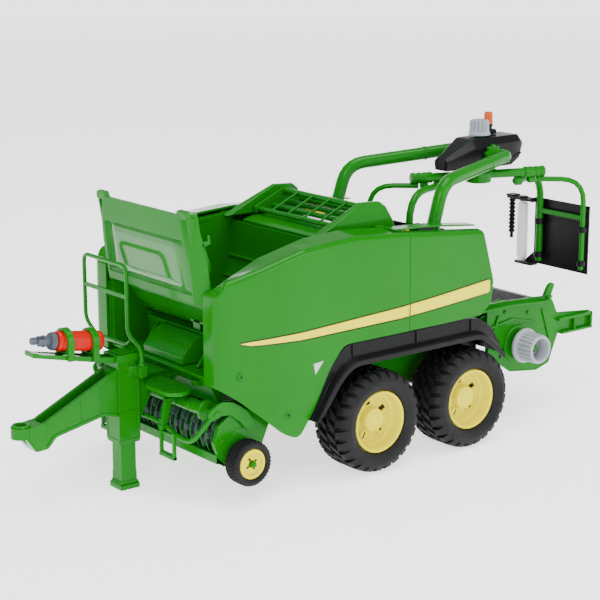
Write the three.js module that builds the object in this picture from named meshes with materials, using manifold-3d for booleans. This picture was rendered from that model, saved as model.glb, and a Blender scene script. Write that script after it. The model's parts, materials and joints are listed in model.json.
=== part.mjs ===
// Toy round baler with a bale wrapper behind it, about 1:16, towed on tandem wheels.
// Millimetres. +X is forward (towards the drawbar), +Y is left, +Z is up.
// Places are measured from the front wheel axle, at the ground, on the centre plane; the
// whole model is moved at the end so that its origin is under the middle of its length.

import * as THREE from 'three';
import { mergeVertices } from 'three/addons/utils/BufferGeometryUtils.js';
import Module from 'manifold-3d';

const wasm = await Module();
wasm.setup();

// ---------------------------------------------------------------- driving dimensions

const GAP = 0.3; // between pieces that touch
const RUN = 0.6; // between a turning piece and what carries it
const WALL = 2; // moulded panels

const TYRE_R = 39; // main wheels
const TYRE_W = 38;
const HALF_WIDTH = 95.7; // centre plane to the outer face of the main tyres
const RIM_R = 23.5;
const AXLE_SPACING = 92.4;
const AXLE_R = 3;
const REAR_AXLE = -AXLE_SPACING; // what lies behind is measured from here

const BODY_FRONT = 137; // front edge of the side panels
const BODY_REAR = REAR_AXLE - 28.6;
const BODY_HALF = 87; // outside of the side panels
const NOSE_HALF = 66; // outside of the side panels at their front edge
const PANEL_GATE = 64.3; // centre plane to the inner edges of the front panels
const BAY_HALF = 60; // inside of the bale chamber and of the front bay
const SPLIT_X = -32; // joint between front and rear side panels
const REAR_BAND = 77; // inner edge of the rear panels' top band

const CHAMBER_X = 72; // centre of the bale chamber's rounded floor
const CHAMBER_Z = 150;
const CHAMBER_R = 47;
const CHEEK_IN = BAY_HALF - 1; // the chamber's side walls
const CHEEK_OUT = BAY_HALF + WALL;
const DECK_FOOT = 78; // chassis deck
const DECK_TOP = 87;
const BAY_BACK = 104; // front bay, between the chamber and its front edge
const BAY_FRONT = 133;
const BAY_BACK_TOP = 111;

const HINGE_X = 131; // lid hinge line
const HINGE_Z = 146;
const LID_HEIGHT = 60; // from the hinge line to the top edge
const LID_FACE = 5.5; // hinge line to the back of the lid's face
const LID_PIN_R = 2;
const LID_HALF = 63.7;
const LID_LEAN = 9; // degrees that the open lid leans forward

const EYE_X = 246.4; // towing eye
const EYE_Z = 57.8;
const EYE_R = 7.2;
const EYE_HOLE_R = 4;
const POST_X = 164; // jack post
const POST_SIZE = 17;
const POST_TOP = 101;
const POST_FOOT = 35;
const JACK_SIZE = 12.5;
const FOOT_HALF = 8;
const FOOT_THICK = 4;
const RAIL_X = 156; // platform rail, and its peg in the post's socket
const PEG_Y = 13.5;
const SHAFT_FRONT = [217.5, 0, 117.6]; // ends of the drive shaft's guard
const SHAFT_REAR = [181.5, 0, 112];
const SHAFT_R = 7.2;

const REEL_X = 116; // pickup
const REEL_Z = 47;
const REEL_R = 17;
const PICKUP_HALF = 74;
const GAUGE_X = 114.8;
const GAUGE_Z = 30.4;
const GAUGE_R = 16.4;
const GAUGE_W = 14;
const GAUGE_OUT = 90.6;
const GUARD_X = 136; // crop roller in front of the reel
const GUARD_Z = 67.5;
const PIVOT_X = 90; // pickup pivot, between the chassis ears and the pickup's cheeks
const PIVOT_Z = 68;
const PIVOT_R = 2;
const EAR_IN = 63;
const EAR_OUT = 67;

const ROTOR_X = REAR_AXLE - 91.6; // upright axis of the wrapping rotor
const BEAM_Z = 192.5;
const BEAM_HALF = 60;
const BEAM_TURN = -19.4; // degrees from the X axis
const CARRIER_REACH = 80; // rotor axis to the plane of the film carriers
const HOOP_OUTER = 44; // offsets of the carrier's two tubes, across the plane
const HOOP_INNER = -5;
const CARRIER_FOOT = 105;
const CARRIER_TOP = 163;
const ROTOR_SHAFT_R = 4;
const HEAD_FOOT = 200; // housing over the rotor
const HEAD_TOP = 224.3;
const HEAD_HALF = 14.5;
const BEACON_X = ROTOR_X - 16;
const BEACON_Y = -6;
const BEACON_FOOT = 232.8;
const BEACON_TOP = 242.7;
const KNOB_TOP = 237.8;

const TABLE_Z = 82; // wrapping table
const TABLE_FRONT = REAR_AXLE - 53.6;
const TABLE_REAR = REAR_AXLE - 125.6;
const TABLE_HALF = 47;
const BELT_R = 8;
const TABLE_PIN_R = 3;
const SIDE_IN = 64; // inside of the rear side plates
const DECK_REAR = REAR_AXLE - 38.9;
const DIAL_X = REAR_AXLE - 75.6;
const DIAL_Z = 65.6;
const DIAL_R = 14;
const REAR_BEAM_END = REAR_AXLE - 159.6;

// ---------------------------------------------------------------- helpers

const rad = (degrees) => (degrees * Math.PI) / 180;

const paint = {
  green: [0x2f8f2c, 0.32, 0],
  yellow: [0xf6d80f, 0.35, 0],
  black: [0x17181a, 0.45, 0],
  tyre: [0x1d1e20, 0.85, 0],
  grey: [0x7d8590, 0.45, 0],
  slate: [0x4b525c, 0.5, 0],
  red: [0xd8261c, 0.35, 0],
  amber: [0xf07a12, 0.25, 0],
  film: [0xf2f3f4, 0.4, 0],
};

// A closed geometry as a solid that can be joined and cut.
function solid(geometry) {
  const bare = geometry.clone();
  bare.deleteAttribute('normal');
  bare.deleteAttribute('uv');
  const merged = mergeVertices(bare, 1e-3);
  return new wasm.Manifold(new wasm.Mesh({
    numProp: 3,
    vertProperties: new Float32Array(merged.attributes.position.array),
    triVerts: new Uint32Array(merged.index.array),
  }));
}

const join = (...pieces) => pieces.flat().reduce((whole, piece) => whole.add(piece));
const cut = (whole, ...pieces) => pieces.flat().reduce((left, piece) => left.subtract(piece), whole);

// A box between two corners.
function block([x0, y0, z0], [x1, y1, z1]) {
  const geometry = new THREE.BoxGeometry(x1 - x0, y1 - y0, z1 - z0);
  geometry.translate((x0 + x1) / 2, (y0 + y1) / 2, (z0 + z1) / 2);
  return solid(geometry);
}

function extruded(points, depth) {
  const shape = new THREE.Shape(points.map(([a, b]) => new THREE.Vector2(a, b)));
  return new THREE.ExtrudeGeometry(shape, { depth, bevelEnabled: false, curveSegments: 12 });
}

// Outline in (x, z), carried across from y0 to y1.
function sideOn(points, y0, y1) {
  const geometry = extruded(points, y1 - y0);
  geometry.rotateX(Math.PI / 2);
  geometry.translate(0, y1, 0);
  return solid(geometry);
}

// Outline in (x, y), carried up from z0 to z1.
function planOn(points, z0, z1) {
  const geometry = extruded(points, z1 - z0);
  geometry.translate(0, 0, z0);
  return solid(geometry);
}

// Outline in (y, z), carried forward from x0 to x1.
function frontOn(points, x0, x1) {
  const geometry = extruded(points, x1 - x0);
  const turn = new THREE.Matrix4().makeBasis(
    new THREE.Vector3(0, 1, 0), new THREE.Vector3(0, 0, 1), new THREE.Vector3(1, 0, 0));
  geometry.applyMatrix4(turn);
  geometry.translate(x0, 0, 0);
  return solid(geometry);
}

// A round bar from p to q, tapering from radius r to rEnd.
function bar(p, q, r, sides = 16, rEnd = r) {
  const from = new THREE.Vector3(...p);
  const along = new THREE.Vector3(...q).sub(from);
  const geometry = new THREE.CylinderGeometry(rEnd, r, along.length(), sides);
  geometry.translate(0, along.length() / 2, 0);
  const turn = new THREE.Quaternion().setFromUnitVectors(
    new THREE.Vector3(0, 1, 0), along.clone().normalize());
  geometry.applyQuaternion(turn);
  geometry.translate(...p);
  return solid(geometry);
}

// A tube through corner points, each corner rounded to its own arc.
function bentTube(corners, r, arc, sides = 10, steps = 5) {
  const points = corners.map((corner) => new THREE.Vector3(...corner));
  const spine = [points[0].clone()];
  for (let i = 1; i < points.length - 1; i += 1) {
    const back = points[i - 1].clone().sub(points[i]);
    const ahead = points[i + 1].clone().sub(points[i]);
    const reach = Math.min(arc, back.length() * 0.49, ahead.length() * 0.49);
    const start = points[i].clone().addScaledVector(back.normalize(), reach);
    const end = points[i].clone().addScaledVector(ahead.normalize(), reach);
    const curve = new THREE.QuadraticBezierCurve3(start, points[i], end);
    spine.push(...curve.getPoints(steps));
  }
  spine.push(points[points.length - 1].clone());
  return sweep(spine, r, sides);
}

// A round section carried along a list of points: one ring on each point's mitre plane.
function sweep(spine, r, sides) {
  const positions = [];
  const index = [];
  let side = new THREE.Vector3();
  spine.forEach((point, i) => {
    const before = spine[Math.max(i - 1, 0)];
    const after = spine[Math.min(i + 1, spine.length - 1)];
    const along = after.clone().sub(before).normalize();
    if (i === 0) {
      const helper = Math.abs(along.z) < 0.9 ? new THREE.Vector3(0, 0, 1) : new THREE.Vector3(1, 0, 0);
      side = helper.cross(along).normalize();
    } else {
      side.addScaledVector(along, -side.dot(along)).normalize();
    }
    const up = along.clone().cross(side);
    for (let k = 0; k < sides; k += 1) {
      const angle = (2 * Math.PI * k) / sides;
      const rim = point.clone()
        .addScaledVector(side, r * Math.cos(angle))
        .addScaledVector(up, r * Math.sin(angle));
      positions.push(rim.x, rim.y, rim.z);
    }
  });
  const rings = spine.length;
  for (let i = 0; i < rings - 1; i += 1) {
    for (let k = 0; k < sides; k += 1) {
      const a = i * sides + k;
      const b = i * sides + ((k + 1) % sides);
      index.push(a, b, b + sides, a, b + sides, a + sides);
    }
  }
  for (let k = 1; k < sides - 1; k += 1) {
    index.push(0, k + 1, k);
    const last = (rings - 1) * sides;
    index.push(last, last + k, last + k + 1);
  }
  const geometry = new THREE.BufferGeometry();
  geometry.setAttribute('position', new THREE.Float32BufferAttribute(positions, 3));
  geometry.setIndex(index);
  return solid(geometry);
}

// A profile of (radius, distance along the axis) turned about an axis that runs along +Y.
// A profile that doesn't start on the axis is closed on itself, and all run anticlockwise.
function turned(profile, [x, y, z], segments) {
  const loop = profile.map(([r, along]) => new THREE.Vector2(r, along));
  if (THREE.ShapeUtils.area(loop) < 0) loop.reverse();
  if (loop[0].x > 0) loop.push(loop[0].clone());
  const geometry = new THREE.LatheGeometry(loop, segments);
  geometry.translate(x, y, z);
  return solid(geometry);
}

const mirrored = (whole) => whole.mirror([0, 1, 0]);

const model = new THREE.Group();

function addNode(name, whole, [color, roughness, metalness]) {
  const { numProp, vertProperties, triVerts } = whole.getMesh();
  const count = vertProperties.length / numProp;
  const positions = new Float32Array(count * 3);
  for (let i = 0; i < count; i += 1) {
    positions.set(vertProperties.subarray(i * numProp, i * numProp + 3), i * 3);
  }
  const geometry = new THREE.BufferGeometry();
  geometry.setAttribute('position', new THREE.BufferAttribute(positions, 3));
  geometry.setIndex(new THREE.BufferAttribute(new Uint32Array(triVerts), 1));
  geometry.computeVertexNormals();
  const mesh = new THREE.Mesh(geometry, new THREE.MeshStandardMaterial({ color, roughness, metalness }));
  mesh.name = name;
  model.add(mesh);
}

// A left piece and its mirror image on the right.
function addPair(name, whole, finish) {
  addNode(`${name}_left`, whole, finish);
  addNode(`${name}_right`, mirrored(whole), finish);
}

// ---------------------------------------------------------------- body panels

// Height of the panel's top edge and of its lower edge, as side outlines.
const topLine = [
  [BODY_FRONT, 152], [131, 160], [66, 176], [18, 179.5], [-24, 176.5], [BODY_REAR + 12, 168]];
const rearLine = [[BODY_REAR, 127], [BODY_REAR + 2, 110], [BODY_REAR + 13, 102]];
const lowLine = [[31, 102], [44, 86], [58, 58], [71, 39], [84, 44], [122, 76], [BODY_FRONT, 86]];

const inset = (points, dx, dz) => points.map(([x, z]) => [x + dx, z + dz]);

function sidePanels() {
  const outline = [...topLine, ...rearLine, ...lowLine];
  const plan = [
    [BODY_FRONT, -NOSE_HALF], [132, -78], [122, -83], [100, -86], [60, -BODY_HALF], [-60, -BODY_HALF],
    [BODY_REAR, -BODY_HALF + 3]];
  const loop = (shrink) => [
    ...plan.map(([x, y]) => [x, y + shrink]), ...plan.slice().reverse().map(([x, y]) => [x, -y - shrink])];
  const outer = planOn(loop(0), 0, 220);
  const inner = planOn(loop(WALL), -1, 221);
  const slab = sideOn(outline, -100, 100);
  const walls = slab.intersect(cut(outer, inner));
  // The band on top of each panel, from the outer wall in to the bale chamber's wall.
  const ribbon = [...topLine, ...inset(topLine, 0, -WALL).reverse()];
  const band = join(
    sideOn(ribbon, PANEL_GATE, 100).intersect(block([-45, 0, 0], [200, 100, 220])),
    sideOn(ribbon, REAR_BAND, 100)).intersect(outer);
  // The rounded nose strip that closes each panel in front.
  const strip = block([BODY_FRONT - WALL, PANEL_GATE, 84], [BODY_FRONT, NOSE_HALF, 152])
    .intersect(slab);
  const whole = cut(join(walls.intersect(block([-200, 0, 0], [200, 100, 220])), band, strip));
  const front = whole.intersect(block([SPLIT_X + GAP / 2, 0, 0], [200, 100, 220]));
  const rear = whole.intersect(block([-200, 0, 0], [SPLIT_X - GAP / 2, 100, 220]));
  addPair('front_panel', front, paint.green);
  addPair('rear_panel', rear, paint.green);
}

// ---------------------------------------------------------------- bay, chamber and roof

function frontBay() {
  const side = CHEEK_IN - GAP;
  const foot = DECK_TOP + GAP;
  const profile = [
    [BAY_FRONT, foot], [BAY_FRONT, foot + WALL], [126, foot + WALL], [113, 101], [BAY_BACK, 101],
    [BAY_BACK, BAY_BACK_TOP], [BAY_BACK - WALL, BAY_BACK_TOP], [BAY_BACK - WALL, foot]];
  const desk = sideOn(profile, -22, 22);
  const tray = sideOn([
    [BAY_FRONT, foot], [BAY_FRONT, foot + WALL], [BAY_BACK, foot + WALL], [BAY_BACK, BAY_BACK_TOP],
    [BAY_BACK - WALL, BAY_BACK_TOP], [BAY_BACK - WALL, foot]], -side, side);
  addNode('front_bay', join(tray, desk), paint.green);
}

function chamberArc(radius) {
  const steps = 14;
  const points = [];
  for (let i = 0; i <= steps; i += 1) {
    const angle = rad(-5 - (i * 175) / steps);
    points.push([CHAMBER_X + radius * Math.cos(angle), CHAMBER_Z + radius * Math.sin(angle)]);
  }
  return points;
}

function baleChamber() {
  // Rounded trough from the front lip, under the bale and up to the roof.
  const rear = CHAMBER_X - CHAMBER_R;
  const trough = sideOn([
    ...chamberArc(CHAMBER_R), [rear, 171], [rear - WALL, 171],
    ...chamberArc(CHAMBER_R + WALL).reverse()], -CHEEK_IN - 1, CHEEK_IN + 1);
  const cheek = join(
    sideOn([
      ...chamberArc(CHAMBER_R + WALL), [rear - WALL, 174.5], [60, 171], [73, 160], [120, 145]],
    CHEEK_IN, CHEEK_OUT),
    sideOn([
      [BAY_FRONT, DECK_TOP + GAP], [BAY_FRONT, 138], [120, 146], [BAY_BACK - WALL, 120],
      [BAY_BACK - WALL, DECK_TOP + GAP]], CHEEK_IN, CHEEK_OUT),
    bar([HINGE_X, CHEEK_IN, HINGE_Z], [HINGE_X, CHEEK_OUT, HINGE_Z], LID_PIN_R + 2.4, 18),
    sideOn(
      [[BAY_FRONT, 136], [HINGE_X + 4, HINGE_Z], [HINGE_X - 4, HINGE_Z], [122, 138]], CHEEK_IN, CHEEK_OUT));
  const flange = block([131, CHEEK_OUT - 1, DECK_TOP + 3], [134.7, 68.5, 137]);
  const ledge = sideOn([
    [66, 173.4], [24, 176.5], [24, 174.2], [66, 171]], CHEEK_IN, PANEL_GATE + 4);
  const [lipX, lipZ] = chamberArc(CHAMBER_R + WALL)[0];
  const lintel = block([lipX - 4.3, -54, lipZ - 12], [lipX + 2.2, 54, lipZ - 2.7]);
  const half = join(cheek, flange, ledge);
  const pins = bar([HINGE_X, -80, HINGE_Z], [HINGE_X, 80, HINGE_Z], LID_PIN_R + GAP, 16);
  addNode('bale_chamber', cut(join(trough, half, mirrored(half), lintel), pins), paint.green);
}

function roof() {
  const skin = [
    [20, 172], [8, 175], [-30, 173], [-72, 164], [-78, 158], [-78, 92],
    [-76, 92], [-76, 157], [-71, 162], [-30, 171], [8, 173], [20, 170]];
  const sheet = sideOn(skin, -50, 50);
  const cheek = sideOn(
    [[20, 172], [8, 175], [-30, 173], [-72, 164], [-78, 158], [-78, 92], [20, 92]], 48, 50);
  const whole = join(sheet, cheek, mirrored(cheek));
  addNode('roof', whole, paint.green);
}

function shoulders() {
  const wedge = sideOn([
    [34, 175.5], [-12, 196], [-30, 195], [-35, 191], [-45, 170], [-30, 173.5], [8, 175.5]], 50.4, 58);
  const slope = frontOn([[50.4, 160], [60, 160], [60, 175], [54, 197], [50.4, 197]], -50, 40);
  addPair('shoulder', wedge.intersect(slope), paint.green);
}

function rollerRack() {
  const rods = [6, -8, -22, -36].map((x, i) => {
    const z = 179 + i * 1.2;
    return bar([x, -49.5, z], [x, 49.5, z], 2, 10);
  });
  const cross = bar([-20, -49.5, 190.5], [-20, 49.5, 190.5], 2.4, 12);
  const rail = sideOn(
    [[10, 176.5], [10, 181], [-18, 193.5], [-24, 193.5], [-40, 185], [-40, 176]], 46.5, 49.5);
  addNode('roller_rack', join(rods, cross, rail, mirrored(rail)), paint.green);
}

// ---------------------------------------------------------------- lid

function lid() {
  // Drawn upright about the hinge line: x outwards through the face, z towards the top edge.
  const foot = -3.5;
  const top = LID_HEIGHT;
  const outline = [
    [-LID_HALF, foot], [LID_HALF, foot], [LID_HALF, 26], [58, top], [-58, top], [-LID_HALF, 26]];
  const back = LID_FACE;
  const front = LID_FACE + WALL;
  const face = frontOn(outline, back, front);
  const recess = frontOn([[-50, 3], [50, 3], [46, 42], [-46, 42]], front - 0.8, front + 1);
  const flange = sideOn([
    [back + 1, foot], [1, foot], [-2, 0], [-2, 14], [-8, 17], [-8, 24], [-2, top - 4],
    [back + 1, top]], 55.5, 57.5);
  const catchHook = block([-11, 55.5, top - 24], [-5, 57.5, top - 18]);
  const horn = block([back - 4, 46, top - 1], [front, 57.5, top + 3]);
  const rim = block([back - 5, -57, top - 3], [back + 1, 57, top - 1]);
  const pin = bar([0, 56, 0], [0, CHEEK_OUT + 1, 0], LID_PIN_R, 14);
  const half = [flange, catchHook, horn, pin];
  const whole = join(cut(face, recess), half, half.map(mirrored), rim);
  addNode('lid', whole.rotate([0, LID_LEAN, 0]).translate([HINGE_X, 0, HINGE_Z]), paint.green);
}

// ---------------------------------------------------------------- drawbar and front equipment

function drawbar() {
  const outline = [
    [EYE_X, EYE_Z - 3.8], [239, 43.5], [230, 44], [224, 51], [184, 59], [POST_X + POST_SIZE / 2 + GAP, 56],
    [POST_X + POST_SIZE / 2 + GAP, 91], [232, 63], [EYE_X, EYE_Z + 3.7]];
  const beam = cut(
    sideOn(outline, -7.5, 7.5),
    sideOn([[230, 70], [236, 58], [190, 66], [176, 68], [176, 100]], -5, 5));
  const ring = bar([EYE_X, 0, EYE_Z - 4], [EYE_X, 0, EYE_Z + 4], EYE_R, 20);
  const hole = bar([EYE_X, 0, 40], [EYE_X, 0, 70], EYE_HOLE_R, 16);
  addNode('drawbar', cut(join(beam, ring), hole), paint.green);
}

function jack() {
  const half = POST_SIZE / 2;
  const body = block([POST_X - half, -half, POST_FOOT], [POST_X + half, half, POST_TOP]);
  const slot = JACK_SIZE / 2 + GAP;
  const bore = block([POST_X - slot, -slot, POST_FOOT - 1], [POST_X + slot, slot, POST_TOP - 3]);
  const arm = sideOn([
    [POST_X - half + 1, 88], [146, 84], [118, 84], [118, 76], [142, 74], [150, 62],
    [POST_X - half + 1, 50]],
  -half + 1.5, half - 1.5);
  const collar = block(
    [POST_X - half - 1, -half - 1, POST_TOP - 6], [POST_X + half + 1, half + 1, POST_TOP]);
  addNode('jack_post', cut(join(body, arm, collar, railSocket()), bore), paint.green);

  const tube = block(
    [POST_X - JACK_SIZE / 2, -JACK_SIZE / 2, FOOT_THICK - 1],
    [POST_X + JACK_SIZE / 2, JACK_SIZE / 2, POST_TOP - 30]);
  const plate = block([POST_X - FOOT_HALF, -FOOT_HALF, 0], [POST_X + FOOT_HALF, FOOT_HALF, FOOT_THICK]);
  addNode('jack_foot', join(tube, plate), paint.green);
}

// A point on the drive shaft's axis: share 0 is the guard's rear end and 1 its front end.
function onShaft(share) {
  return SHAFT_REAR.map((v, i) => v + (SHAFT_FRONT[i] - v) * share);
}

function shaftRest() {
  const behind = POST_X + POST_SIZE / 2 + 1 + GAP;
  const tray = sideOn([
    [behind, 95.5], [176, 95.5], [238, 110], [238, 113.5], [230, 112], [176, 100], [behind, 100]], -6, 6);
  const clear = bar(onShaft(-1), onShaft(2), SHAFT_R + 0.4, 16);
  const hoop = (share) => {
    const [x, , z] = onShaft(share);
    const ring = cut(
      bar([x - 2.5, 0, z], [x + 2.5, 0, z], SHAFT_R + 2.4, 14),
      bar([x - 4, 0, z], [x + 4, 0, z], SHAFT_R + 1, 14));
    const leg = block([x - 2.5, 5, z - 13], [x + 2.5, 9, z - 4]);
    return cut(join(ring, leg, mirrored(leg)), clear);
  };
  addNode('shaft_tray', join(tray, hoop(0.22), hoop(0.78)), paint.green);
  addNode('shaft_guard', bar(SHAFT_REAR, SHAFT_FRONT, SHAFT_R, 16), paint.red);
  const length = Math.hypot(SHAFT_FRONT[0] - SHAFT_REAR[0], SHAFT_FRONT[2] - SHAFT_REAR[2]);
  const ahead = (distance) => onShaft(1 + distance / length);
  const [crossX, , crossZ] = ahead(12);
  const joint = join(
    bar(ahead(GAP), ahead(5), 6.4, 14), bar(ahead(4), ahead(13), 4, 10),
    bar([crossX, -4.5, crossZ], [crossX, 4.5, crossZ], 1.8, 8),
    bar(ahead(12), ahead(19), 2.6, 8));
  addNode('shaft_joint', joint, paint.slate);
}

function platformRail() {
  const r = 1.5;
  const inner = -4;
  const outer = -61;
  const loop = bentTube([
    [RAIL_X, PEG_Y, 88], [RAIL_X, PEG_Y, 104], [RAIL_X, inner, 112], [RAIL_X, inner, 161],
    [RAIL_X, outer, 161], [RAIL_X, outer, 112], [RAIL_X, outer + 14, 103], [RAIL_X, inner, 103.5],
    [RAIL_X, inner + 4, 108]], r, 5, 8, 2);
  const rung = block([RAIL_X - 0.9, outer, 137], [RAIL_X + 0.9, inner, 140]);
  addNode('platform_rail', join(loop, rung), paint.green);
}

function railSocket() {
  return cut(
    join(block([RAIL_X - 3, POST_SIZE / 2 - 1, 84], [RAIL_X + 3, PEG_Y + 3, 92]),
      block([RAIL_X - 3, POST_SIZE / 2 - 1, 84], [POST_X, POST_SIZE / 2 + 1, 92])),
    bar([RAIL_X, PEG_Y, 87.7], [RAIL_X, PEG_Y, 93], 1.8, 10));
}

function treads() {
  const plate = planOn(
    [[136, 7.3], [151, 7.3], [157, 20], [157, 46], [150, 52], [142, 52], [136, 46]], 77, 80);
  addPair('tread', plate, paint.green);
}

// ---------------------------------------------------------------- chassis and wheels

function chassis() {
  const deck = planOn([
    [117.6, -40], [117.6, 40], [60, 54], [DECK_REAR, 54], [DECK_REAR, -54], [60, -54]],
  DECK_FOOT, DECK_TOP);
  const cradleTop = CHAMBER_Z - CHAMBER_R - WALL - GAP;
  const cradle = block([CHAMBER_X - 8, -50, DECK_TOP - 1], [CHAMBER_X + 8, 50, cradleTop]);
  const beam = block([84, -EAR_OUT, DECK_FOOT], [98, EAR_OUT, DECK_TOP]);
  const wheels = [0, -AXLE_SPACING];
  const hangers = wheels.map((x) => sideOn(
    [[x + 22, DECK_FOOT + 1], [x + 7, 30], [x - 7, 30], [x - 22, DECK_FOOT + 1]], 44, 50));
  const skirts = [
    sideOn([
      [-14, DECK_FOOT + 1], [-22, 62], [-40, 54], [REAR_AXLE + 30, 50], [REAR_AXLE + 14, 50],
      [REAR_AXLE + 16, DECK_FOOT + 1]], 44, 50),
    sideOn([
      [REAR_AXLE - 14, 60], [REAR_AXLE - 16, DECK_FOOT + 1], [DECK_REAR, DECK_FOOT + 1], [DECK_REAR, 62]],
    44, 50)];
  const bosses = wheels.map((x) => bar([x, 44.5, TYRE_R], [x, 54, TYRE_R], AXLE_R + 3, 16));
  const ear = sideOn([
    [PIVOT_X - 5, DECK_FOOT + 1], [PIVOT_X - 5, PIVOT_Z - 4], [PIVOT_X + 4, PIVOT_Z - 4],
    [PIVOT_X + 5, DECK_FOOT + 1]], EAR_IN, EAR_OUT);
  const rail = block([REAR_AXLE - 7.6, 50.3, DECK_TOP - 1], [30, 57.7, 99]);
  const armFoot = join(
    block([-76, 50.5, DECK_TOP - 1], [-52, 54, 112]), block([-76, 50.5, 103], [-52, 66, 112]));
  const half = join(hangers, skirts, bosses, ear, rail, armFoot);
  const bores = wheels.map((x) => bar([x, -80, TYRE_R], [x, 80, TYRE_R], AXLE_R + GAP, 16));
  const pivot = bar([PIVOT_X, -80, PIVOT_Z], [PIVOT_X, 80, PIVOT_Z], PIVOT_R + GAP, 12);
  addNode('chassis', cut(join(deck, cradle, beam, half, mirrored(half)), bores, pivot), paint.green);
}

const wheelPlaces = [['front', 0], ['rear', -AXLE_SPACING]];

function mainWheels() {
  const inner = HALF_WIDTH - TYRE_W;
  wheelPlaces.forEach(([name, x]) => {
    const reach = HALF_WIDTH - 16;
    addNode(`axle_${name}`, bar([x, -reach, TYRE_R], [x, reach, TYRE_R], AXLE_R, 14), paint.black);
    const rim = turned([
      [AXLE_R + RUN, 8], [9, 8], [9, 14], [RIM_R - 3, 14], [RIM_R - 3, 4], [RIM_R, 4], [RIM_R, TYRE_W - 4],
      [RIM_R - 3, TYRE_W - 4], [RIM_R - 6, 22], [9, 18], [8, TYRE_W - 12], [AXLE_R + RUN, TYRE_W - 12]],
    [x, inner, TYRE_R], 20);
    const tyre = turned([
      [RIM_R + GAP, 4], [RIM_R + 5, 0.5], [TYRE_R - 5, 0.5], [TYRE_R - 1, 3.5], [TYRE_R, 8],
      [TYRE_R, TYRE_W - 8],
      [TYRE_R - 1, TYRE_W - 3.5], [TYRE_R - 5, TYRE_W], [RIM_R + 5, TYRE_W], [RIM_R + GAP, TYRE_W - 3.5]],
    [x, inner, TYRE_R], 28);
    addPair(`rim_${name}`, rim, paint.yellow);
    addPair(`tyre_${name}`, tyre, paint.tyre);
  });
}

function fenders() {
  const underPanel = inset(lowLine.slice(0, 3), -0.35, -GAP).reverse();
  const outerLine = [
    [61.9, 52], ...underPanel, [REAR_AXLE - 7.6, 101.7], [REAR_AXLE - 19.6, 96], [REAR_AXLE - 29.6, 86],
    [REAR_AXLE - 37.6, 70]];
  // The wall is inside the line: below it over the wheels, and ahead or behind it at the ends.
  const innerLine = outerLine.map(([x, z]) => {
    const pastAxle = Math.max(x, REAR_AXLE - x);
    const inwards = x > REAR_AXLE / 2 ? -2.4 : 2.4;
    return pastAxle > 26 ? [x + inwards, z - 0.8] : [x, z - 2.4];
  }).reverse();
  const band = sideOn([...outerLine, ...innerLine], 58, 93);
  const crown = outerLine.slice(2, 8);
  const lip = sideOn([...crown, ...inset(crown, 0, -8).reverse()], 91, 93);
  addPair('fender', join(band, lip), paint.black);
}

// ---------------------------------------------------------------- pickup

function pickup() {
  const cheek = sideOn([
    [REEL_X + 17, 34], [REEL_X + 21, 46], [REEL_X + 17, 58], [REEL_X + 6, 65], [REEL_X - 8, 66], [94, 73],
    [85, 72], [84, 66], [90, 50], [98, 32], [REEL_X - 4, 26], [REEL_X + 10, 27]],
  PICKUP_HALF - 3, PICKUP_HALF);
  const hub = bar([GAUGE_X, PICKUP_HALF - 1, GAUGE_Z], [GAUGE_X, GAUGE_OUT - 1, GAUGE_Z], 2, 12);
  const beamFront = block([REEL_X + 15, -PICKUP_HALF + 1, 30], [REEL_X + 18, PICKUP_HALF - 1, 35]);
  const beamRear = block([92.5, -PICKUP_HALF + 1, 48], [96.5, PICKUP_HALF - 1, 60]);
  const pivot = bar([PIVOT_X, EAR_IN - 1, PIVOT_Z], [PIVOT_X, PICKUP_HALF - 1, PIVOT_Z], PIVOT_R, 12);
  const pan = sideOn([[97, 30], [REEL_X - 3, 26.5], [REEL_X + 12, 27], [REEL_X + 17, 31], [REEL_X + 15, 33],
    [REEL_X + 11, 29], [REEL_X - 3, 28.5], [98, 32]], -PICKUP_HALF + 1, PICKUP_HALF - 1);
  const half = join(cheek, hub, pivot);
  const bores = bar([REEL_X, -90, REEL_Z], [REEL_X, 90, REEL_Z], 3 + GAP, 12);
  addNode('pickup_frame', cut(join(half, mirrored(half), beamFront, beamRear, pan), bores), paint.green);

  const drum = bar([REEL_X, -PICKUP_HALF + 4, REEL_Z], [REEL_X, PICKUP_HALF - 4, REEL_Z], 10, 16);
  const pins = bar([REEL_X, -PICKUP_HALF + 0.5, REEL_Z], [REEL_X, PICKUP_HALF - 0.5, REEL_Z], 3, 12);
  const tines = [];
  for (let row = 0; row < 4; row += 1) {
    for (let k = 0; k < 9; k += 1) {
      const y = -60 + k * 15;
      const angle = rad(45 + row * 90);
      tines.push(bar(
        [REEL_X + 9 * Math.cos(angle), y, REEL_Z + 9 * Math.sin(angle)],
        [REEL_X + REEL_R * Math.cos(angle), y, REEL_Z + REEL_R * Math.sin(angle)], 1.2, 4));
    }
  }
  addNode('tine_reel', join(drum, pins, tines), paint.slate);

  const inner = GAUGE_OUT - GAUGE_W;
  const disc = turned([
    [2 + RUN, 1], [10.8, 1], [10.8, GAUGE_W - 1], [9, GAUGE_W - 1], [8, GAUGE_W - 3],
    [2 + RUN, GAUGE_W - 3]],
  [GAUGE_X, inner, GAUGE_Z], 16);
  const tyre = turned([
    [11.1, 1], [GAUGE_R - 2, 0], [GAUGE_R, 2], [GAUGE_R, GAUGE_W - 2], [GAUGE_R - 2, GAUGE_W],
    [11.1, GAUGE_W - 1]],
  [GAUGE_X, inner, GAUGE_Z], 20);
  addPair('gauge_rim', disc, paint.yellow);
  addPair('gauge_tyre', tyre, paint.tyre);
}

// ---------------------------------------------------------------- crop roller in front of the reel

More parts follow.
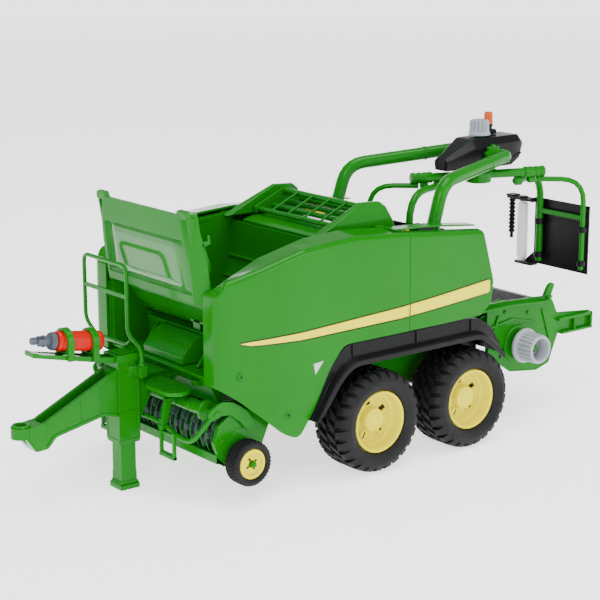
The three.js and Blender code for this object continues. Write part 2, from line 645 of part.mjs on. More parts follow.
function cropGuard() {
  const arm = sideOn([
    [104, 56], [110, 66], [122, 74], [132, 76], [143, 70], [141, 63], [132, 66], [124, 65], [116, 58],
    [110, 51]],
  PICKUP_HALF + 0.6, PICKUP_HALF + 3);
  const tube = bentTube([
    [150, 33, 52], [150, 50, 47], [150, 66, 47], [138.5, PICKUP_HALF + 2.6, 67.5]], 1.7, 8, 8, 3);
  const stay = sideOn([[150, 50], [154, 50], [150, 71.5], [144, 71.5]], 31, 35);
  const ladder = join(
    block([151, 30, 30], [153.4, 32.4, 57]), block([151, 46, 30], [153.4, 48.4, 50]),
    block([150.6, 30, 30], [153.8, 48.4, 33]));
  const crossbar = bar([150, -34, 53], [150, 34, 53], 1.6, 8);
  const half = join(arm, tube, stay, ladder);
  addNode('crop_guard', join(half, mirrored(half), crossbar), paint.green);
  const roller = join(
    bar([GUARD_X, -64, GUARD_Z], [GUARD_X, 64, GUARD_Z], 5, 16),
    bar([GUARD_X, 62, GUARD_Z], [GUARD_X, 65, GUARD_Z], 7.4, 20),
    bar([GUARD_X, -65, GUARD_Z], [GUARD_X, -62, GUARD_Z], 7.4, 20),
    bar([GUARD_X, -PICKUP_HALF - GAP, GUARD_Z], [GUARD_X, PICKUP_HALF + GAP, GUARD_Z], 2, 10));
  addNode('crop_roller', roller, paint.green);
}

// ---------------------------------------------------------------- wrapper arms, head and rotor

function wrapperArms() {
  const tube = bentTube([
    [-62.5, 59.5, 112.3], [ROTOR_X + 93, 57, 203], [ROTOR_X - 5, 28, 211],
    [ROTOR_X, HEAD_HALF + 2, 211]], 5.2, 14, 14, 5);
  const flange = bar([ROTOR_X, HEAD_HALF + GAP, 211], [ROTOR_X, HEAD_HALF + 3.5, 211], 8.5, 18);
  const seat = block([-90, 40, 100], [-40, 80, 112 + GAP]);
  addPair('wrapper_arm', cut(join(tube, flange), seat), paint.green);
}

function head() {
  const side = sideOn([
    [ROTOR_X + 43, HEAD_FOOT], [ROTOR_X + 43, 208], [ROTOR_X + 36, 212.5], [ROTOR_X + 18, HEAD_TOP - 1],
    [ROTOR_X - 33, HEAD_TOP], [ROTOR_X - 39, 217], [ROTOR_X - 35, 206], [ROTOR_X - 25, HEAD_FOOT]],
  -HEAD_HALF, HEAD_HALF);
  const plan = planOn([
    [ROTOR_X + 43, -7], [ROTOR_X + 43, 7], [ROTOR_X + 18, HEAD_HALF], [ROTOR_X - 35, HEAD_HALF],
    [ROTOR_X - 40, 11], [ROTOR_X - 40, -11], [ROTOR_X - 35, -HEAD_HALF], [ROTOR_X + 18, -HEAD_HALF]],
  HEAD_FOOT - 10, HEAD_TOP + 10);
  const bore = bar([ROTOR_X, 0, HEAD_FOOT - 10], [ROTOR_X, 0, HEAD_TOP + 10], ROTOR_SHAFT_R + GAP, 16);
  addNode('head_housing', cut(side.intersect(plan), bore), paint.black);
  const base = join(
    block([BEACON_X - 6, BEACON_Y - 4, HEAD_TOP + GAP], [BEACON_X + 2, BEACON_Y + 4, HEAD_TOP + 3]),
    block([BEACON_X - 3, BEACON_Y - 4, HEAD_TOP + 2], [BEACON_X + 3, BEACON_Y + 4, BEACON_FOOT - GAP]));
  addNode('beacon_base', base, paint.black);
  const lens = bar([BEACON_X, BEACON_Y, BEACON_FOOT], [BEACON_X, BEACON_Y, BEACON_TOP], 3.8, 16, 3.4);
  addNode('beacon_lens', lens, paint.amber);
}

const beamPoint = (along, across = 0) => {
  const turn = rad(BEAM_TURN);
  return [
    ROTOR_X + along * Math.cos(turn) - across * Math.sin(turn),
    along * Math.sin(turn) + across * Math.cos(turn)];
};

function rotor() {
  const [fx, fy] = beamPoint(BEAM_HALF);
  const [rx, ry] = beamPoint(-BEAM_HALF);
  const beam = join(
    bar([rx, ry, BEAM_Z], [fx, fy, BEAM_Z], 3.6, 12),
    bar([ROTOR_X, 0, BEAM_Z - 6], [ROTOR_X, 0, HEAD_FOOT - 1], 11, 24),
    bar([ROTOR_X, 0, HEAD_FOOT - 2], [ROTOR_X, 0, HEAD_TOP + 1], ROTOR_SHAFT_R, 16));
  addNode('rotor_beam', beam, paint.green);
  const knob = turned([
    [0, HEAD_TOP + 1.3], [9.2, HEAD_TOP + 1.3], [9.2, HEAD_TOP + 3], [8, HEAD_TOP + 3.2], [7.8, KNOB_TOP],
    [0, KNOB_TOP]],
  [0, 0, 0], 24).rotate([90, 0, 0]).translate([ROTOR_X, 0, 0]);
  addNode('rotor_knob', knob, paint.grey);

  [['front', 1], ['rear', -1]].forEach(([name, s]) => carrier(name, s));
}

// A film carrier at the beam's front (s = 1) or rear end (s = -1); the two are half a turn apart.
function carrier(name, s) {
  const x = ROTOR_X + s * CARRIER_REACH;
  const at = (y) => -s * y;
  // A box between two depths behind the tubes' plane, two offsets across it and two heights.
  const box = (depth0, depth1, a, b, z0, z1) => block(
    [x + Math.min(s * depth0, s * depth1), Math.min(at(a), at(b)), z0],
    [x + Math.max(s * depth0, s * depth1), Math.max(at(a), at(b)), z1]);
  const hang = BEAM_Z - 3.6 - GAP;
  const leg = (along, offset, z, r) => {
    const [endX, endY] = beamPoint(s * along);
    const corners = [[endX, endY, z], [x, at(offset), z], [x, at(offset), CARRIER_FOOT + 4]];
    return bentTube(corners, r, 26, 8, 5);
  };
  const hoop = join(
    leg(BEAM_HALF - 7, HOOP_OUTER, hang - 2.4, 2.2), leg(34, HOOP_INNER, hang - 3.2, 3),
    box(-1, 1, HOOP_OUTER, HOOP_INNER, 151, 155));
  addNode(`film_hoop_${name}`, hoop, paint.green);

  const shelfFoot = CARRIER_TOP - 3.5;
  const panel = box(3 + GAP, 5, -14, HOOP_OUTER + 3.5, CARRIER_FOOT, CARRIER_TOP);
  const topShelf = box(-5, 5, -42, -9, shelfFoot, CARRIER_TOP);
  const lowShelf = box(-5, 5, -30, -9, CARRIER_FOOT - 1.5, CARRIER_FOOT + 1);
  const stretcher = bar([x - s, at(-37), 128], [x - s, at(-37), shelfFoot + 0.5], 3, 10);
  addNode(`film_panel_${name}`, join(panel, topShelf, lowShelf, stretcher), paint.black);
  const rollFoot = CARRIER_FOOT + 1 + RUN;
  const roll = bar([x - s, at(-24), rollFoot], [x - s, at(-24), shelfFoot - RUN], 4.7, 20);
  addNode(`film_roll_${name}`, roll, paint.film);
}

// ---------------------------------------------------------------- wrapping table and rear

function wrapTable() {
  const plate = sideOn([
    [TABLE_FRONT + 6, TABLE_Z - 4], [TABLE_FRONT + 6, TABLE_Z + 4], [TABLE_REAR - 6, TABLE_Z + 4],
    [TABLE_REAR - 6, TABLE_Z - 4], [DIAL_X - 12, DIAL_Z - 7], [DIAL_X + 12, DIAL_Z - 7]],
  TABLE_HALF + 1, TABLE_HALF + 4);
  const spine = block([DIAL_X - 6, -TABLE_HALF - 2, DIAL_Z - 5], [DIAL_X + 6, TABLE_HALF + 2, DIAL_Z + 3]);
  const axle = bar([DIAL_X, -SIDE_IN - 2, DIAL_Z], [DIAL_X, 72, DIAL_Z], TABLE_PIN_R, 12);
  const rollers = [TABLE_FRONT, TABLE_REAR].map(
    (x) => bar([x, -TABLE_HALF - 2, TABLE_Z], [x, TABLE_HALF + 2, TABLE_Z], 3, 12));
  addNode('table_frame', join(plate, mirrored(plate), spine, axle, rollers), paint.green);
  const halfTurn = (x, start) => Array.from({ length: 9 }, (_, i) => {
    const angle = rad(start + (i * 180) / 8);
    return [x + BELT_R * Math.cos(angle), TABLE_Z + BELT_R * Math.sin(angle)];
  });
  const loop = [...halfTurn(TABLE_FRONT, -90), ...halfTurn(TABLE_REAR, 90)];
  const bores = [TABLE_FRONT, TABLE_REAR].map(
    (x) => bar([x, -60, TABLE_Z], [x, 60, TABLE_Z], 3 + GAP, 12));
  const belt = sideOn(loop, -TABLE_HALF, TABLE_HALF);
  addNode('table_belt', cut(belt, bores), paint.black);
  const dial = cut(
    turned([
      [3 + GAP, 73], [DIAL_R, 73], [DIAL_R, 76], [DIAL_R - 2, 76.5], [DIAL_R - 2.6, 92], [DIAL_R - 5.5, 92],
      [DIAL_R - 5.5, 80], [3 + GAP, 80]], [DIAL_X, 0, DIAL_Z], 24));
  const stub = bar([DIAL_X, 72 + GAP, DIAL_Z], [DIAL_X, 79, DIAL_Z], 3.5, 12);
  addNode('table_dial', join(dial, stub), paint.grey);
}

function rearFrame() {
  const outline = [
    [DECK_REAR - 1.7, 62], [DECK_REAR - 1.7, 99], [DIAL_X + 18, 99], [DIAL_X - 38, 96], [DIAL_X - 44, 84],
    [REAR_BEAM_END, 80], [REAR_BEAM_END, 66], [DIAL_X - 46, 68], [DIAL_X - 36, 44], [DIAL_X - 22, 40],
    [DIAL_X + 8, 44]];
  const plate = sideOn(outline, SIDE_IN, SIDE_IN + 3);
  const flange = block([REAR_BEAM_END, SIDE_IN - 2, 77], [DIAL_X - 44, SIDE_IN + 6, 80]);
  const foot = block(
    [TABLE_FRONT + BELT_R + GAP, 50, DECK_FOOT + 1], [DECK_REAR - GAP, SIDE_IN + 2, DECK_TOP - 1]);
  const bore = bar([DIAL_X, -90, DIAL_Z], [DIAL_X, 90, DIAL_Z], TABLE_PIN_R + GAP, 16);
  addPair('rear_side', cut(join(plate, flange, foot), bore), paint.green);
}

sidePanels();
frontBay();
baleChamber();
roof();
shoulders();
rollerRack();
lid();
drawbar();
jack();
shaftRest();
platformRail();
treads();
chassis();
mainWheels();
fenders();
pickup();
cropGuard();
wrapperArms();
head();
rotor();
wrapTable();
rearFrame();

// The origin lies under the middle of the overall length.
const frontTip = EYE_X + EYE_R;
const rearTip = ROTOR_X - CARRIER_REACH - 5;
model.position.x = -(frontTip + rearTip) / 2;

export default model;
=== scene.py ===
"""Looks of a moulded toy: a towed round baler with a bale wrapper behind it.

Sizes are in millimetres from the front wheel axle, on the ground and the centre plane, with +X
forward, +Y left and +Z up. into_mesh() carries them to metres in the part's own frame.
"""

import json
import math

import bmesh
import bpy
import numpy as np
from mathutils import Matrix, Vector

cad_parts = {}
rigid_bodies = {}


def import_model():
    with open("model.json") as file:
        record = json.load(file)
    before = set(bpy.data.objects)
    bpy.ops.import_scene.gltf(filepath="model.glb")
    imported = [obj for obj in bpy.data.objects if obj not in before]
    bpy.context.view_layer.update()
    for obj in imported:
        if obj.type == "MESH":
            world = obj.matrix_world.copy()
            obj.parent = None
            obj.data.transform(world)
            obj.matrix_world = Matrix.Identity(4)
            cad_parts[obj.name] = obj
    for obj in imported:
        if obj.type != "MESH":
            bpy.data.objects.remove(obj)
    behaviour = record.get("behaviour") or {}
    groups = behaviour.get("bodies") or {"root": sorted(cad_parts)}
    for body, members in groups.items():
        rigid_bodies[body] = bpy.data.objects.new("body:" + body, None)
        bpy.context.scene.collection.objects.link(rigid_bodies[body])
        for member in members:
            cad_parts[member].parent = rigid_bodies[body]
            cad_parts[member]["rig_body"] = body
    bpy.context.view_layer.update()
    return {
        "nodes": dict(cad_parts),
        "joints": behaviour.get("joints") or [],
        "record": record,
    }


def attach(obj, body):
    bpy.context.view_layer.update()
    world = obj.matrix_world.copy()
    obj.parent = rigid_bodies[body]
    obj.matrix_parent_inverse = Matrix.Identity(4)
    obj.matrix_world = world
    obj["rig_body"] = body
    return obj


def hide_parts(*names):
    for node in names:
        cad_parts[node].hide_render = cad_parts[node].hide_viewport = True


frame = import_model()

MM = 0.001
joint_points = {row["name"]: np.array(row["pos_m"]) / MM for row in frame["joints"] if "pos_m" in row}
FRONT_AXLE = joint_points["wheel_front_left_spin"][0]  # its place along the part's X axis
ACROSS = np.array([0.0, 1.0, 0.0])
UP = np.array([0.0, 0.0, 1.0])
AHEAD = np.array([1.0, 0.0, 0.0])
TURN = 2 * math.pi


def joint_place(name):
    """A joint's point, measured from the front axle as everything here is."""
    return joint_points[name] - FRONT_AXLE * AHEAD


LID_HINGE = joint_place("lid_hinge")
REEL = joint_place("reel_spin")
CROP_ROLLER = joint_place("crop_roller_spin")
GAUGE_WHEEL = joint_place("gauge_left_spin")
ROTOR = joint_place("rotor_spin")[0]
TABLE_PIVOT = joint_place("table_tilt")

# ------------------------------------------------------------------ shapes as whole arrays
# A shape is a pair: points as an array of (x, y, z), and a list of arrays of faces.


def grid_faces(rows, columns, close_rows=False, close_columns=False):
    """Each face joins four neighbours: one step along the rows and one along the columns."""
    i = np.arange(rows if close_rows else rows - 1)
    j = np.arange(columns if close_columns else columns - 1)
    i, j = np.meshgrid(i, j, indexing="ij")
    n, m = (i + 1) % rows, (j + 1) % columns
    faces = [i * columns + j, n * columns + j, n * columns + m, i * columns + m]
    return np.stack(faces, -1).reshape(-1, 4)


def together(*shapes):
    """Several shapes as one: the points in a row, with each shape's faces counted on from the last."""
    starts = np.cumsum([0] + [len(points) for points, _ in shapes])
    points = np.concatenate([points for points, _ in shapes])
    faces = [f + start for (_, fs), start in zip(shapes, starts) for f in fs]
    return points, faces


def other_side(shape):
    """The mirror image in the centre plane: y changes sign."""
    points, faces = shape
    return points * (1, -1, 1), [f[:, ::-1] for f in faces]


def both(shape):
    """A shape and its mirror image."""
    return together(shape, other_side(shape))


def moved(shape, offset):
    """The shape with one offset added to every point."""
    return shape[0] + np.asarray(offset, float), shape[1]


def turned(shape, centre, axis, degrees):
    """Each point goes round a line: the part along the line stays and the rest turns (Rodrigues)."""
    k = np.asarray(axis, float) / np.linalg.norm(axis)
    p = shape[0] - np.asarray(centre, float)
    a = math.radians(degrees)
    along = (p @ k)[:, None] * k
    return centre + along + (p - along) * math.cos(a) + np.cross(k, p) * math.sin(a), shape[1]


def copies(shape, offsets):
    """The shape once at each offset: all points at once by adding the offsets to them."""
    points, faces = shape
    offsets = np.asarray(offsets, float)
    n = len(points)
    spread = (offsets[:, None] + points[None]).reshape(-1, 3)
    counts = np.arange(len(offsets))[:, None, None] * n
    return spread, [(f[None] + counts).reshape(-1, f.shape[1]) for f in faces]


def round_copies(shape, centre, axis, count, start=0.0):
    """The shape repeated evenly round an axis: every copy's turn is worked out at once."""
    points, faces = shape
    k = np.asarray(axis, float)
    p = points - np.asarray(centre, float)
    a = start + np.arange(count)[:, None, None] * TURN / count
    along = ((p @ k)[:, None] * k)[None]
    out = along + (p[None] - along) * np.cos(a) + np.cross(k, p)[None] * np.sin(a)
    counts = np.arange(count)[:, None, None] * len(points)
    spread = [(f[None] + counts).reshape(-1, f.shape[1]) for f in faces]
    return (out + np.asarray(centre, float)).reshape(-1, 3), spread


def eased(corners, reach, steps=6):
    """A path with its corners eased: each becomes a parabola from reach before it to reach after."""
    p = np.asarray(corners, float)
    back, ahead = p[:-2] - p[1:-1], p[2:] - p[1:-1]
    lb, la = np.linalg.norm(back, axis=1), np.linalg.norm(ahead, axis=1)
    r = np.minimum(reach, 0.49 * np.minimum(lb, la))[:, None]
    a, b = p[1:-1] + back / lb[:, None] * r, p[1:-1] + ahead / la[:, None] * r
    t = np.linspace(0, 1, steps)[None, :, None]
    arcs = (1 - t) ** 2 * a[:, None] + 2 * t * (1 - t) * p[1:-1, None] + t * t * b[:, None]
    return np.concatenate([p[:1], arcs.reshape(-1, p.shape[1]), p[-1:]])


def circle(radius, sides):
    """A round section: (r cos t, r sin t)."""
    t = np.arange(sides) * TURN / sides
    return np.stack([radius * np.cos(t), radius * np.sin(t)], 1)


def carried(section, path, lean=ACROSS):
    """A closed section carried along a path: at each point of the path its two directions are
    square to the way ahead, and the first lies nearest to the lean direction."""
    path = np.asarray(path, float)
    way = np.gradient(path, axis=0)
    way /= np.linalg.norm(way, axis=1)[:, None]
    one = lean - (way @ lean)[:, None] * way
    one /= np.linalg.norm(one, axis=1)[:, None]
    two = np.cross(way, one)
    points = path[:, None] + section[None, :, :1] * one[:, None] + section[None, :, 1:] * two[:, None]
    k, n = len(section), len(path)
    ends = np.array([np.arange(k), (n - 1) * k + np.arange(k)[::-1]])
    return points.reshape(-1, 3), [grid_faces(n, k, close_columns=True), ends]


def tube(corners, radius, reach, sides, lean=ACROSS):
    """A round section carried along a path with eased corners."""
    return carried(circle(radius, sides), eased(corners, reach), lean)


def rod(a, b, radius, sides):
    """A round rod from a to b."""
    a, b = np.asarray(a, float), np.asarray(b, float)
    lean = ACROSS if abs((b - a)[1]) < 0.8 * np.linalg.norm(b - a) else UP
    return carried(circle(radius, sides), np.stack([a, b]), lean)


def lathe(profile, centre, axis=ACROSS, sides=48, wave=None):
    """A closed profile of (radius, distance along the axis) taken round an axis. wave(angle)
    gives, for each profile point and angle, what is added to the radius."""
    profile = np.asarray(profile, float)
    k = np.asarray(axis, float) / np.linalg.norm(axis)
    one = UP if abs(k[2]) < 0.9 else AHEAD
    one = one - (one @ k) * k
    one /= np.linalg.norm(one)
    two = np.cross(k, one)
    t = np.arange(sides) * TURN / sides
    r = profile[:, 0][:, None] + (0 if wave is None else wave(t, profile))
    points = (
        np.asarray(centre, float)
        + r[..., None] * (np.cos(t)[None, :, None] * one + np.sin(t)[None, :, None] * two)
        + profile[:, 1][:, None, None] * k
    )
    return points.reshape(-1, 3), [grid_faces(len(profile), sides, True, True)]


def disc(profile, centre, axis=ACROSS, sides=48, wave=None):
    """A profile of (radius, distance) that isn't closed on itself: flat ends close it."""
    points, _ = lathe(profile, centre, axis, sides, wave)
    n = len(profile)
    ends = np.array([np.arange(sides)[::-1], (n - 1) * sides + np.arange(sides)])
    return points, [grid_faces(n, sides, close_columns=True), ends]


PLANES = {"xz": (0, 2, 1), "xy": (0, 1, 2), "yz": (1, 2, 0)}


def slab(outline, plane, low, high):
    """An outline carried straight from low to high across its plane."""
    outline = np.asarray(outline, float)
    a, b, c = PLANES[plane]
    points = np.zeros((2, len(outline), 3))
    points[:, :, a], points[:, :, b] = outline[:, 0], outline[:, 1]
    points[0, :, c], points[1, :, c] = low, high
    k = len(outline)
    ends = np.array([np.arange(k)[::-1], k + np.arange(k)])
    return points.reshape(-1, 3), [grid_faces(2, k, close_columns=True), ends]


def brick(low, high):
    """A box between two corners."""
    (x0, y0, z0), (x1, y1, z1) = low, high
    return slab([[x0, y0], [x1, y0], [x1, y1], [x0, y1]], "xy", z0, z1)


def sheet(points):
    """An open grid of points, rows by columns by xyz."""
    return points.reshape(-1, 3), [grid_faces(*points.shape[:2])]


def table_at(table, x):
    """Straight lines between the rows of a table of (x, value)."""
    rows = np.asarray(table, float)
    rows = rows[np.argsort(rows[:, 0], kind="stable")]
    return np.interp(x, rows[:, 0], rows[:, 1])


# ------------------------------------------------------------------ pieces of the object


SHARP = math.radians(32)  # an edge that turns by more than this is eased, or shaded sharp


def dressed(piece, body, finish, bevel, rounds):
    """Eases a piece's sharp edges, gives it the finish's material and sets it on its body."""
    slot, look = finish
    if bevel:
        edge = piece.modifiers.new("edges", "BEVEL")
        edge.width = bevel * MM
        edge.segments = rounds
        edge.limit_method = "ANGLE"
        edge.angle_limit = SHARP
        edge.harden_normals = True
    piece.data.materials.clear()
    piece.data.materials.append(look)
    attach(piece, body)


def shaded(mesh, angle):
    """Smooth shading, broken at every edge that turns by more than the angle."""
    mesh.polygons.foreach_set("use_smooth", np.ones(len(mesh.polygons), bool))
    mesh.set_sharp_from_angle(angle=angle)


def into_mesh(name, shape, outwards=None):
    """Points and faces as a mesh at the origin. A closed shape gets its faces turned outwards;
    an open skin is turned to face the outwards direction."""
    points, faces = shape
    mesh = bpy.data.meshes.new(name)
    rows = [row for f in faces for row in f.tolist()]
    mesh.from_pydata(((points + (FRONT_AXLE, 0, 0)) * MM).tolist(), [], rows)
    work = bmesh.new()
    work.from_mesh(mesh)
    if outwards is None:
        bmesh.ops.recalc_face_normals(work, faces=work.faces[:])
    else:
        bmesh.ops.remove_doubles(work, verts=work.verts[:], dist=1e-6)
        work.normal_update()
        if sum(f.normal.dot(Vector(outwards)) * f.calc_area() for f in work.faces) < 0:
            bmesh.ops.reverse_faces(work, faces=work.faces[:])
    work.to_mesh(mesh)
    work.free()
    return mesh


def piece(name, shape, body, finish, bevel=0.0, rounds=2, angle=None, stands_for=(), wall=0.0, outwards=None):
    """One finished piece. wall gives an open skin its thickness, inwards from the skin."""
    mesh = into_mesh(name, shape, outwards)
    shaded(mesh, SHARP if angle is None else math.radians(angle))
    made = bpy.data.objects.new(name, mesh)
    bpy.context.scene.collection.objects.link(made)
    if wall:
        thick = made.modifiers.new("wall", "SOLIDIFY")
        thick.thickness = wall * MM
        thick.offset = -1
        thick.use_even_offset = True
    dressed(made, body, finish, bevel, rounds)
    if stands_for:
        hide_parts(*stands_for)


def pair(name, shape, body, finish, stands_for=(), outwards=None, **edges):
    """A left piece and its mirror image. {} in the body's or node's name becomes the side."""
    for side, sign in (("left", 1), ("right", -1)):
        one = shape if sign > 0 else other_side(shape)
        nodes = [node.format(side) for node in stands_for]
        way = None if outwards is None else (outwards[0], sign * outwards[1], outwards[2])
        piece(f"{name}_{side}", one, body.format(side), finish, stands_for=nodes, outwards=way, **edges)


def moulded_edges(node, width, rounds=2):
    """The CAD node's own surface as one skin, its flat neighbours joined and its edges rounded."""
    source = frame["nodes"][node]
    mesh = source.data.copy()
    work = bmesh.new()
    work.from_mesh(mesh)
    bmesh.ops.remove_doubles(work, verts=work.verts[:], dist=2e-5)
    bmesh.ops.dissolve_limit(work, angle_limit=math.radians(1.2), verts=work.verts[:], edges=work.edges[:])
    work.to_mesh(mesh)
    work.free()
    shaded(mesh, SHARP)
    made = bpy.data.objects.new(f"{node}_moulding", mesh)
    bpy.context.scene.collection.objects.link(made)
    made.data.materials.clear()
    slot = node_slot[node]
    dressed(made, source["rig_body"], (slot, looks[slot]), width, rounds)
    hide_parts(node)


# ------------------------------------------------------------------ materials


class Look:
    """A procedural material under way: its nodes, its shader and the place it is worked out at."""

    def __init__(self, name):
        self.material = bpy.data.materials.new(name)
        self.material.use_nodes = True
        self.nodes, self.links = self.material.node_tree.nodes, self.material.node_tree.links
        self.shader = self.nodes["Principled BSDF"]
        self.place = self.nodes.new("ShaderNodeTexCoord").outputs["Object"]

    def set(self, **numbers):
        """Plain numbers straight onto the shader's own sockets: Coat_Weight is Coat Weight."""
        for socket, number in numbers.items():
            self.shader.inputs[socket.replace("_", " ")].default_value = number

    def show(self, value, socket):
        """Joins a worked-out value to one of the shader's sockets."""
        self.links.new(value, self.shader.inputs[socket])

    def noise(self, scale, detail, rough=0.5):
        """Noise at a scale, in cells to the metre."""
        noise = self.nodes.new("ShaderNodeTexNoise")
        for socket, number in (("Scale", scale), ("Detail", detail), ("Roughness", rough)):
            noise.inputs[socket].default_value = number
        self.links.new(self.place, noise.inputs["Vector"])
        return noise.outputs["Fac"]

    def spread(self, value, low, high, to_low, to_high):
        """A value between low and high, carried to between to_low and to_high."""
        scale = self.nodes.new("ShaderNodeMapRange")
        ends = zip(("From Min", "From Max", "To Min", "To Max"), (low, high, to_low, to_high))
        for socket, number in ends:
            scale.inputs[socket].default_value = number
        self.links.new(value, scale.inputs["Value"])
        return scale.outputs["Result"]

    def mixed(self, factor, one, two):
        """Two colours mixed by a factor; either may be plain or worked out."""
        mix = self.nodes.new("ShaderNodeMix")
        mix.data_type = "RGBA"
        self.links.new(factor, mix.inputs[0])
        for socket, colour in ((mix.inputs[6], one), (mix.inputs[7], two)):
            if hasattr(colour, "is_output"):
                self.links.new(colour, socket)
            else:
                socket.default_value = (*colour, 1)
        return mix.outputs[2]

    def relief(self, height, strength, depth):
        """Bump: the surface leans as the height changes."""
        relief = self.nodes.new("ShaderNodeBump")
        relief.inputs["Strength"].default_value = strength
        relief.inputs["Distance"].default_value = depth
        self.links.new(height, relief.inputs["Height"])
        self.show(relief.outputs["Normal"], "Normal")


def moulding(name, colour, shade, rough, dust=0.0, swirl=22.0, bump=0.03, grain=900.0, coat=0.0):
    """Moulded plastic: two close shades stirred by broad noise, gloss that changes a little with
    finer noise, a faint grain in the surface, and pale dust where small cells fall."""
    look = Look(name)
    skin = look.mixed(look.spread(look.noise(swirl, 4), 0.3, 0.7, 0, 1), colour, shade)
    if dust:
        cells = look.nodes.new("ShaderNodeTexVoronoi")
        cells.inputs["Scale"].default_value = 260
        look.links.new(look.place, cells.inputs["Vector"])
        spot = look.spread(cells.outputs["Distance"], 0.035, 0.075, dust, 0)
        skin = look.mixed(spot, skin, tuple(0.55 * c + 0.3 for c in colour))
    look.show(skin, "Base Color")
    gloss = look.noise(grain * 0.12, 2)
    look.show(look.spread(gloss, 0.3, 0.7, rough * 0.88, rough * 1.14), "Roughness")
    look.relief(look.noise(grain, 3, 0.6), bump, 0.0004)
    look.set(Coat_Weight=coat, Coat_Roughness=0.08, Specular_IOR_Level=0.14)
    return look.material


def amber(name):
    """Clear orange plastic with a slight swirl; light passes partly through it."""
    material = moulding(name, (0.62, 0.085, 0.001), (0.72, 0.12, 0.002), 0.16, 0, 90, 0.02)
    shader = material.node_tree.nodes["Principled BSDF"]
    shader.inputs["Transmission Weight"].default_value = 0.35
    shader.inputs["Subsurface Weight"].default_value = 0.2
    shader.inputs["Subsurface Scale"].default_value = 0.003
    return material


def film(name):
    """Stretch film on its roll: near white, with fine bands round it where its turns overlap."""
    look = Look(name)
    bands = look.nodes.new("ShaderNodeTexWave")
    bands.bands_direction = "Z"
    for socket, number in (("Scale", 130), ("Distortion", 1.2), ("Detail", 2)):
        bands.inputs[socket].default_value = number
    look.links.new(look.place, bands.inputs["Vector"])
    tone = look.spread(bands.outputs["Fac"], 0, 1, 0, 1)
    look.show(look.mixed(tone, (0.80, 0.81, 0.82), (0.90, 0.90, 0.91)), "Base Color")
    look.show(look.spread(look.noise(200, 2), 0.3, 0.7, 0.24, 0.36), "Roughness")
    look.relief(bands.outputs["Fac"], 0.08, 0.0003)
    return look.material


# name, two shades, roughness, dust, swirl, bump, grain and coat of each moulding
looks = {
    "green_plastic": moulding(
        "gloss_green", (0.0015, 0.135, 0.0025), (0.0025, 0.152, 0.0035), 0.17, 0.12, 14, 0.015, 700),
    "yellow_plastic": moulding(
        "wheel_yellow", (0.70, 0.61, 0.0), (0.76, 0.67, 0.0), 0.30, 0.04, 30, 0.02, 700),
    "black_plastic": moulding(
        "satin_black", (0.0030, 0.0032, 0.0035), (0.0048, 0.0050, 0.0054), 0.34, 0.12, 25, 0.05, 1100),
    "tyre_compound": moulding(
        "tyre_compound", (0.0070, 0.0072, 0.0078), (0.0125, 0.0128, 0.0135), 0.60, 0.12, 60, 0.12, 1500),
    "grey_plastic": moulding(
        "knob_grey", (0.26, 0.285, 0.32), (0.33, 0.355, 0.39), 0.33, 0.1, 60, 0.03, 900, 0.1),
    "slate_plastic": moulding(
        "tine_slate", (0.050, 0.060, 0.080), (0.072, 0.084, 0.105), 0.36, 0.15, 70, 0.04, 900, 0.1),
    "red_plastic": moulding(
        "shaft_red", (0.42, 0.001, 0.0002), (0.50, 0.002, 0.0005), 0.28, 0.05, 40, 0.03, 700),
    "amber_plastic": amber("beacon_amber"),
    "white_plastic": film("stretch_film"),
}
# A finish is a slot of the record and the material that stands in it.
green, yellow, black, compound, grey, slate, red, clear_amber, white = looks.items()
stripe_yellow = "yellow_plastic", moulding(
    "stripe_yellow", (0.77, 0.69, 0.0), (0.83, 0.74, 0.0), 0.26, 0.03, 20, 0.01, 800)
stripe_black = "black_plastic", moulding(
    "stripe_black", (0.010, 0.010, 0.010), (0.016, 0.016, 0.016), 0.3, 0.1, 20, 0.02, 800, 0.2)
# The sunk pane: the body's plastic, glossier, with a paler, greyer tone that is painted reflection.
pane_green = "green_plastic", moulding(
    "pane_green", (0.012, 0.150, 0.014), (0.018, 0.170, 0.020), 0.08, 0.0, 18, 0.01, 700, 0.5)
pale_sticker = "white_plastic", moulding(
    "pale_sticker", (0.42, 0.47, 0.43), (0.52, 0.56, 0.52), 0.22, 0.0, 500, 0.05, 1800, 0.2)
# Near black laid in slots, rim windows, notches and holes: painted shade for their dark insides.
painted_shade = "black_plastic", moulding(
    "recess_black", (0.004, 0.004, 0.004), (0.007, 0.007, 0.007), 0.6, 0.0, 60, 0.05, 900)

node_slot = {row["node"]: row["material_slot"] for row in frame["record"]["subparts"]}
for node_name, node_object in frame["nodes"].items():
    node_object.data.materials.clear()
    node_object.data.materials.append(looks[node_slot[node_name]])

# ------------------------------------------------------------------ side panels and their stripes

SPLIT = -32.0  # the seam between the front and the rear panel
PANEL_END = -108.6  # where the rear panel's plan ends, before its back edge is drawn out
PANEL_FOOT = 102.0  # the rear panel's lower edge
INNER_EDGE = 77.2  # how far in the rear panel's top runs
# Plan as (x, y); top, lower edge and the top's inner edge as (x, z); back edge as (z, x).
PANEL_PLAN = eased([[137, 62.6], [137, 80.5], [100, 86], [60, 87], [-60, 87], [-121, 84]], 9, 10)
PANEL_TOP = [[137, 152], [131, 160], [66, 176], [18, 179.5], [-24, 176.5], [-109, 168]]
PANEL_LOW = eased(
    [[137, 86], [122, 76], [84, 44.5], [71, 39], [58, 58], [44, 86], [31, 102], [-109, 102]], 6, 6)
PANEL_SIDE = PANEL_PLAN[PANEL_PLAN[:, 0] < 136.5]
BAND_EDGE = [[137, 150], [132, 152.5], [92, 169.8], [52, 179], [18, 181], [-24, 178], [-32, 177.4]]
PANEL_REAR = [[102, -108], [110, -119], [127, -121], [168, -109]]


def crown(z):
    """How far a panel's side is drawn in, growing with the square of the height from its middle."""
    return 1.2 * ((z - 118) / 70) ** 2


def on_panel(x, z, lift):
    """Points on the left panel's side: its plan width less its crown, with a lift outwards."""
    return np.stack([x, table_at(PANEL_SIDE, x) - crown(z) + lift, z], -1)


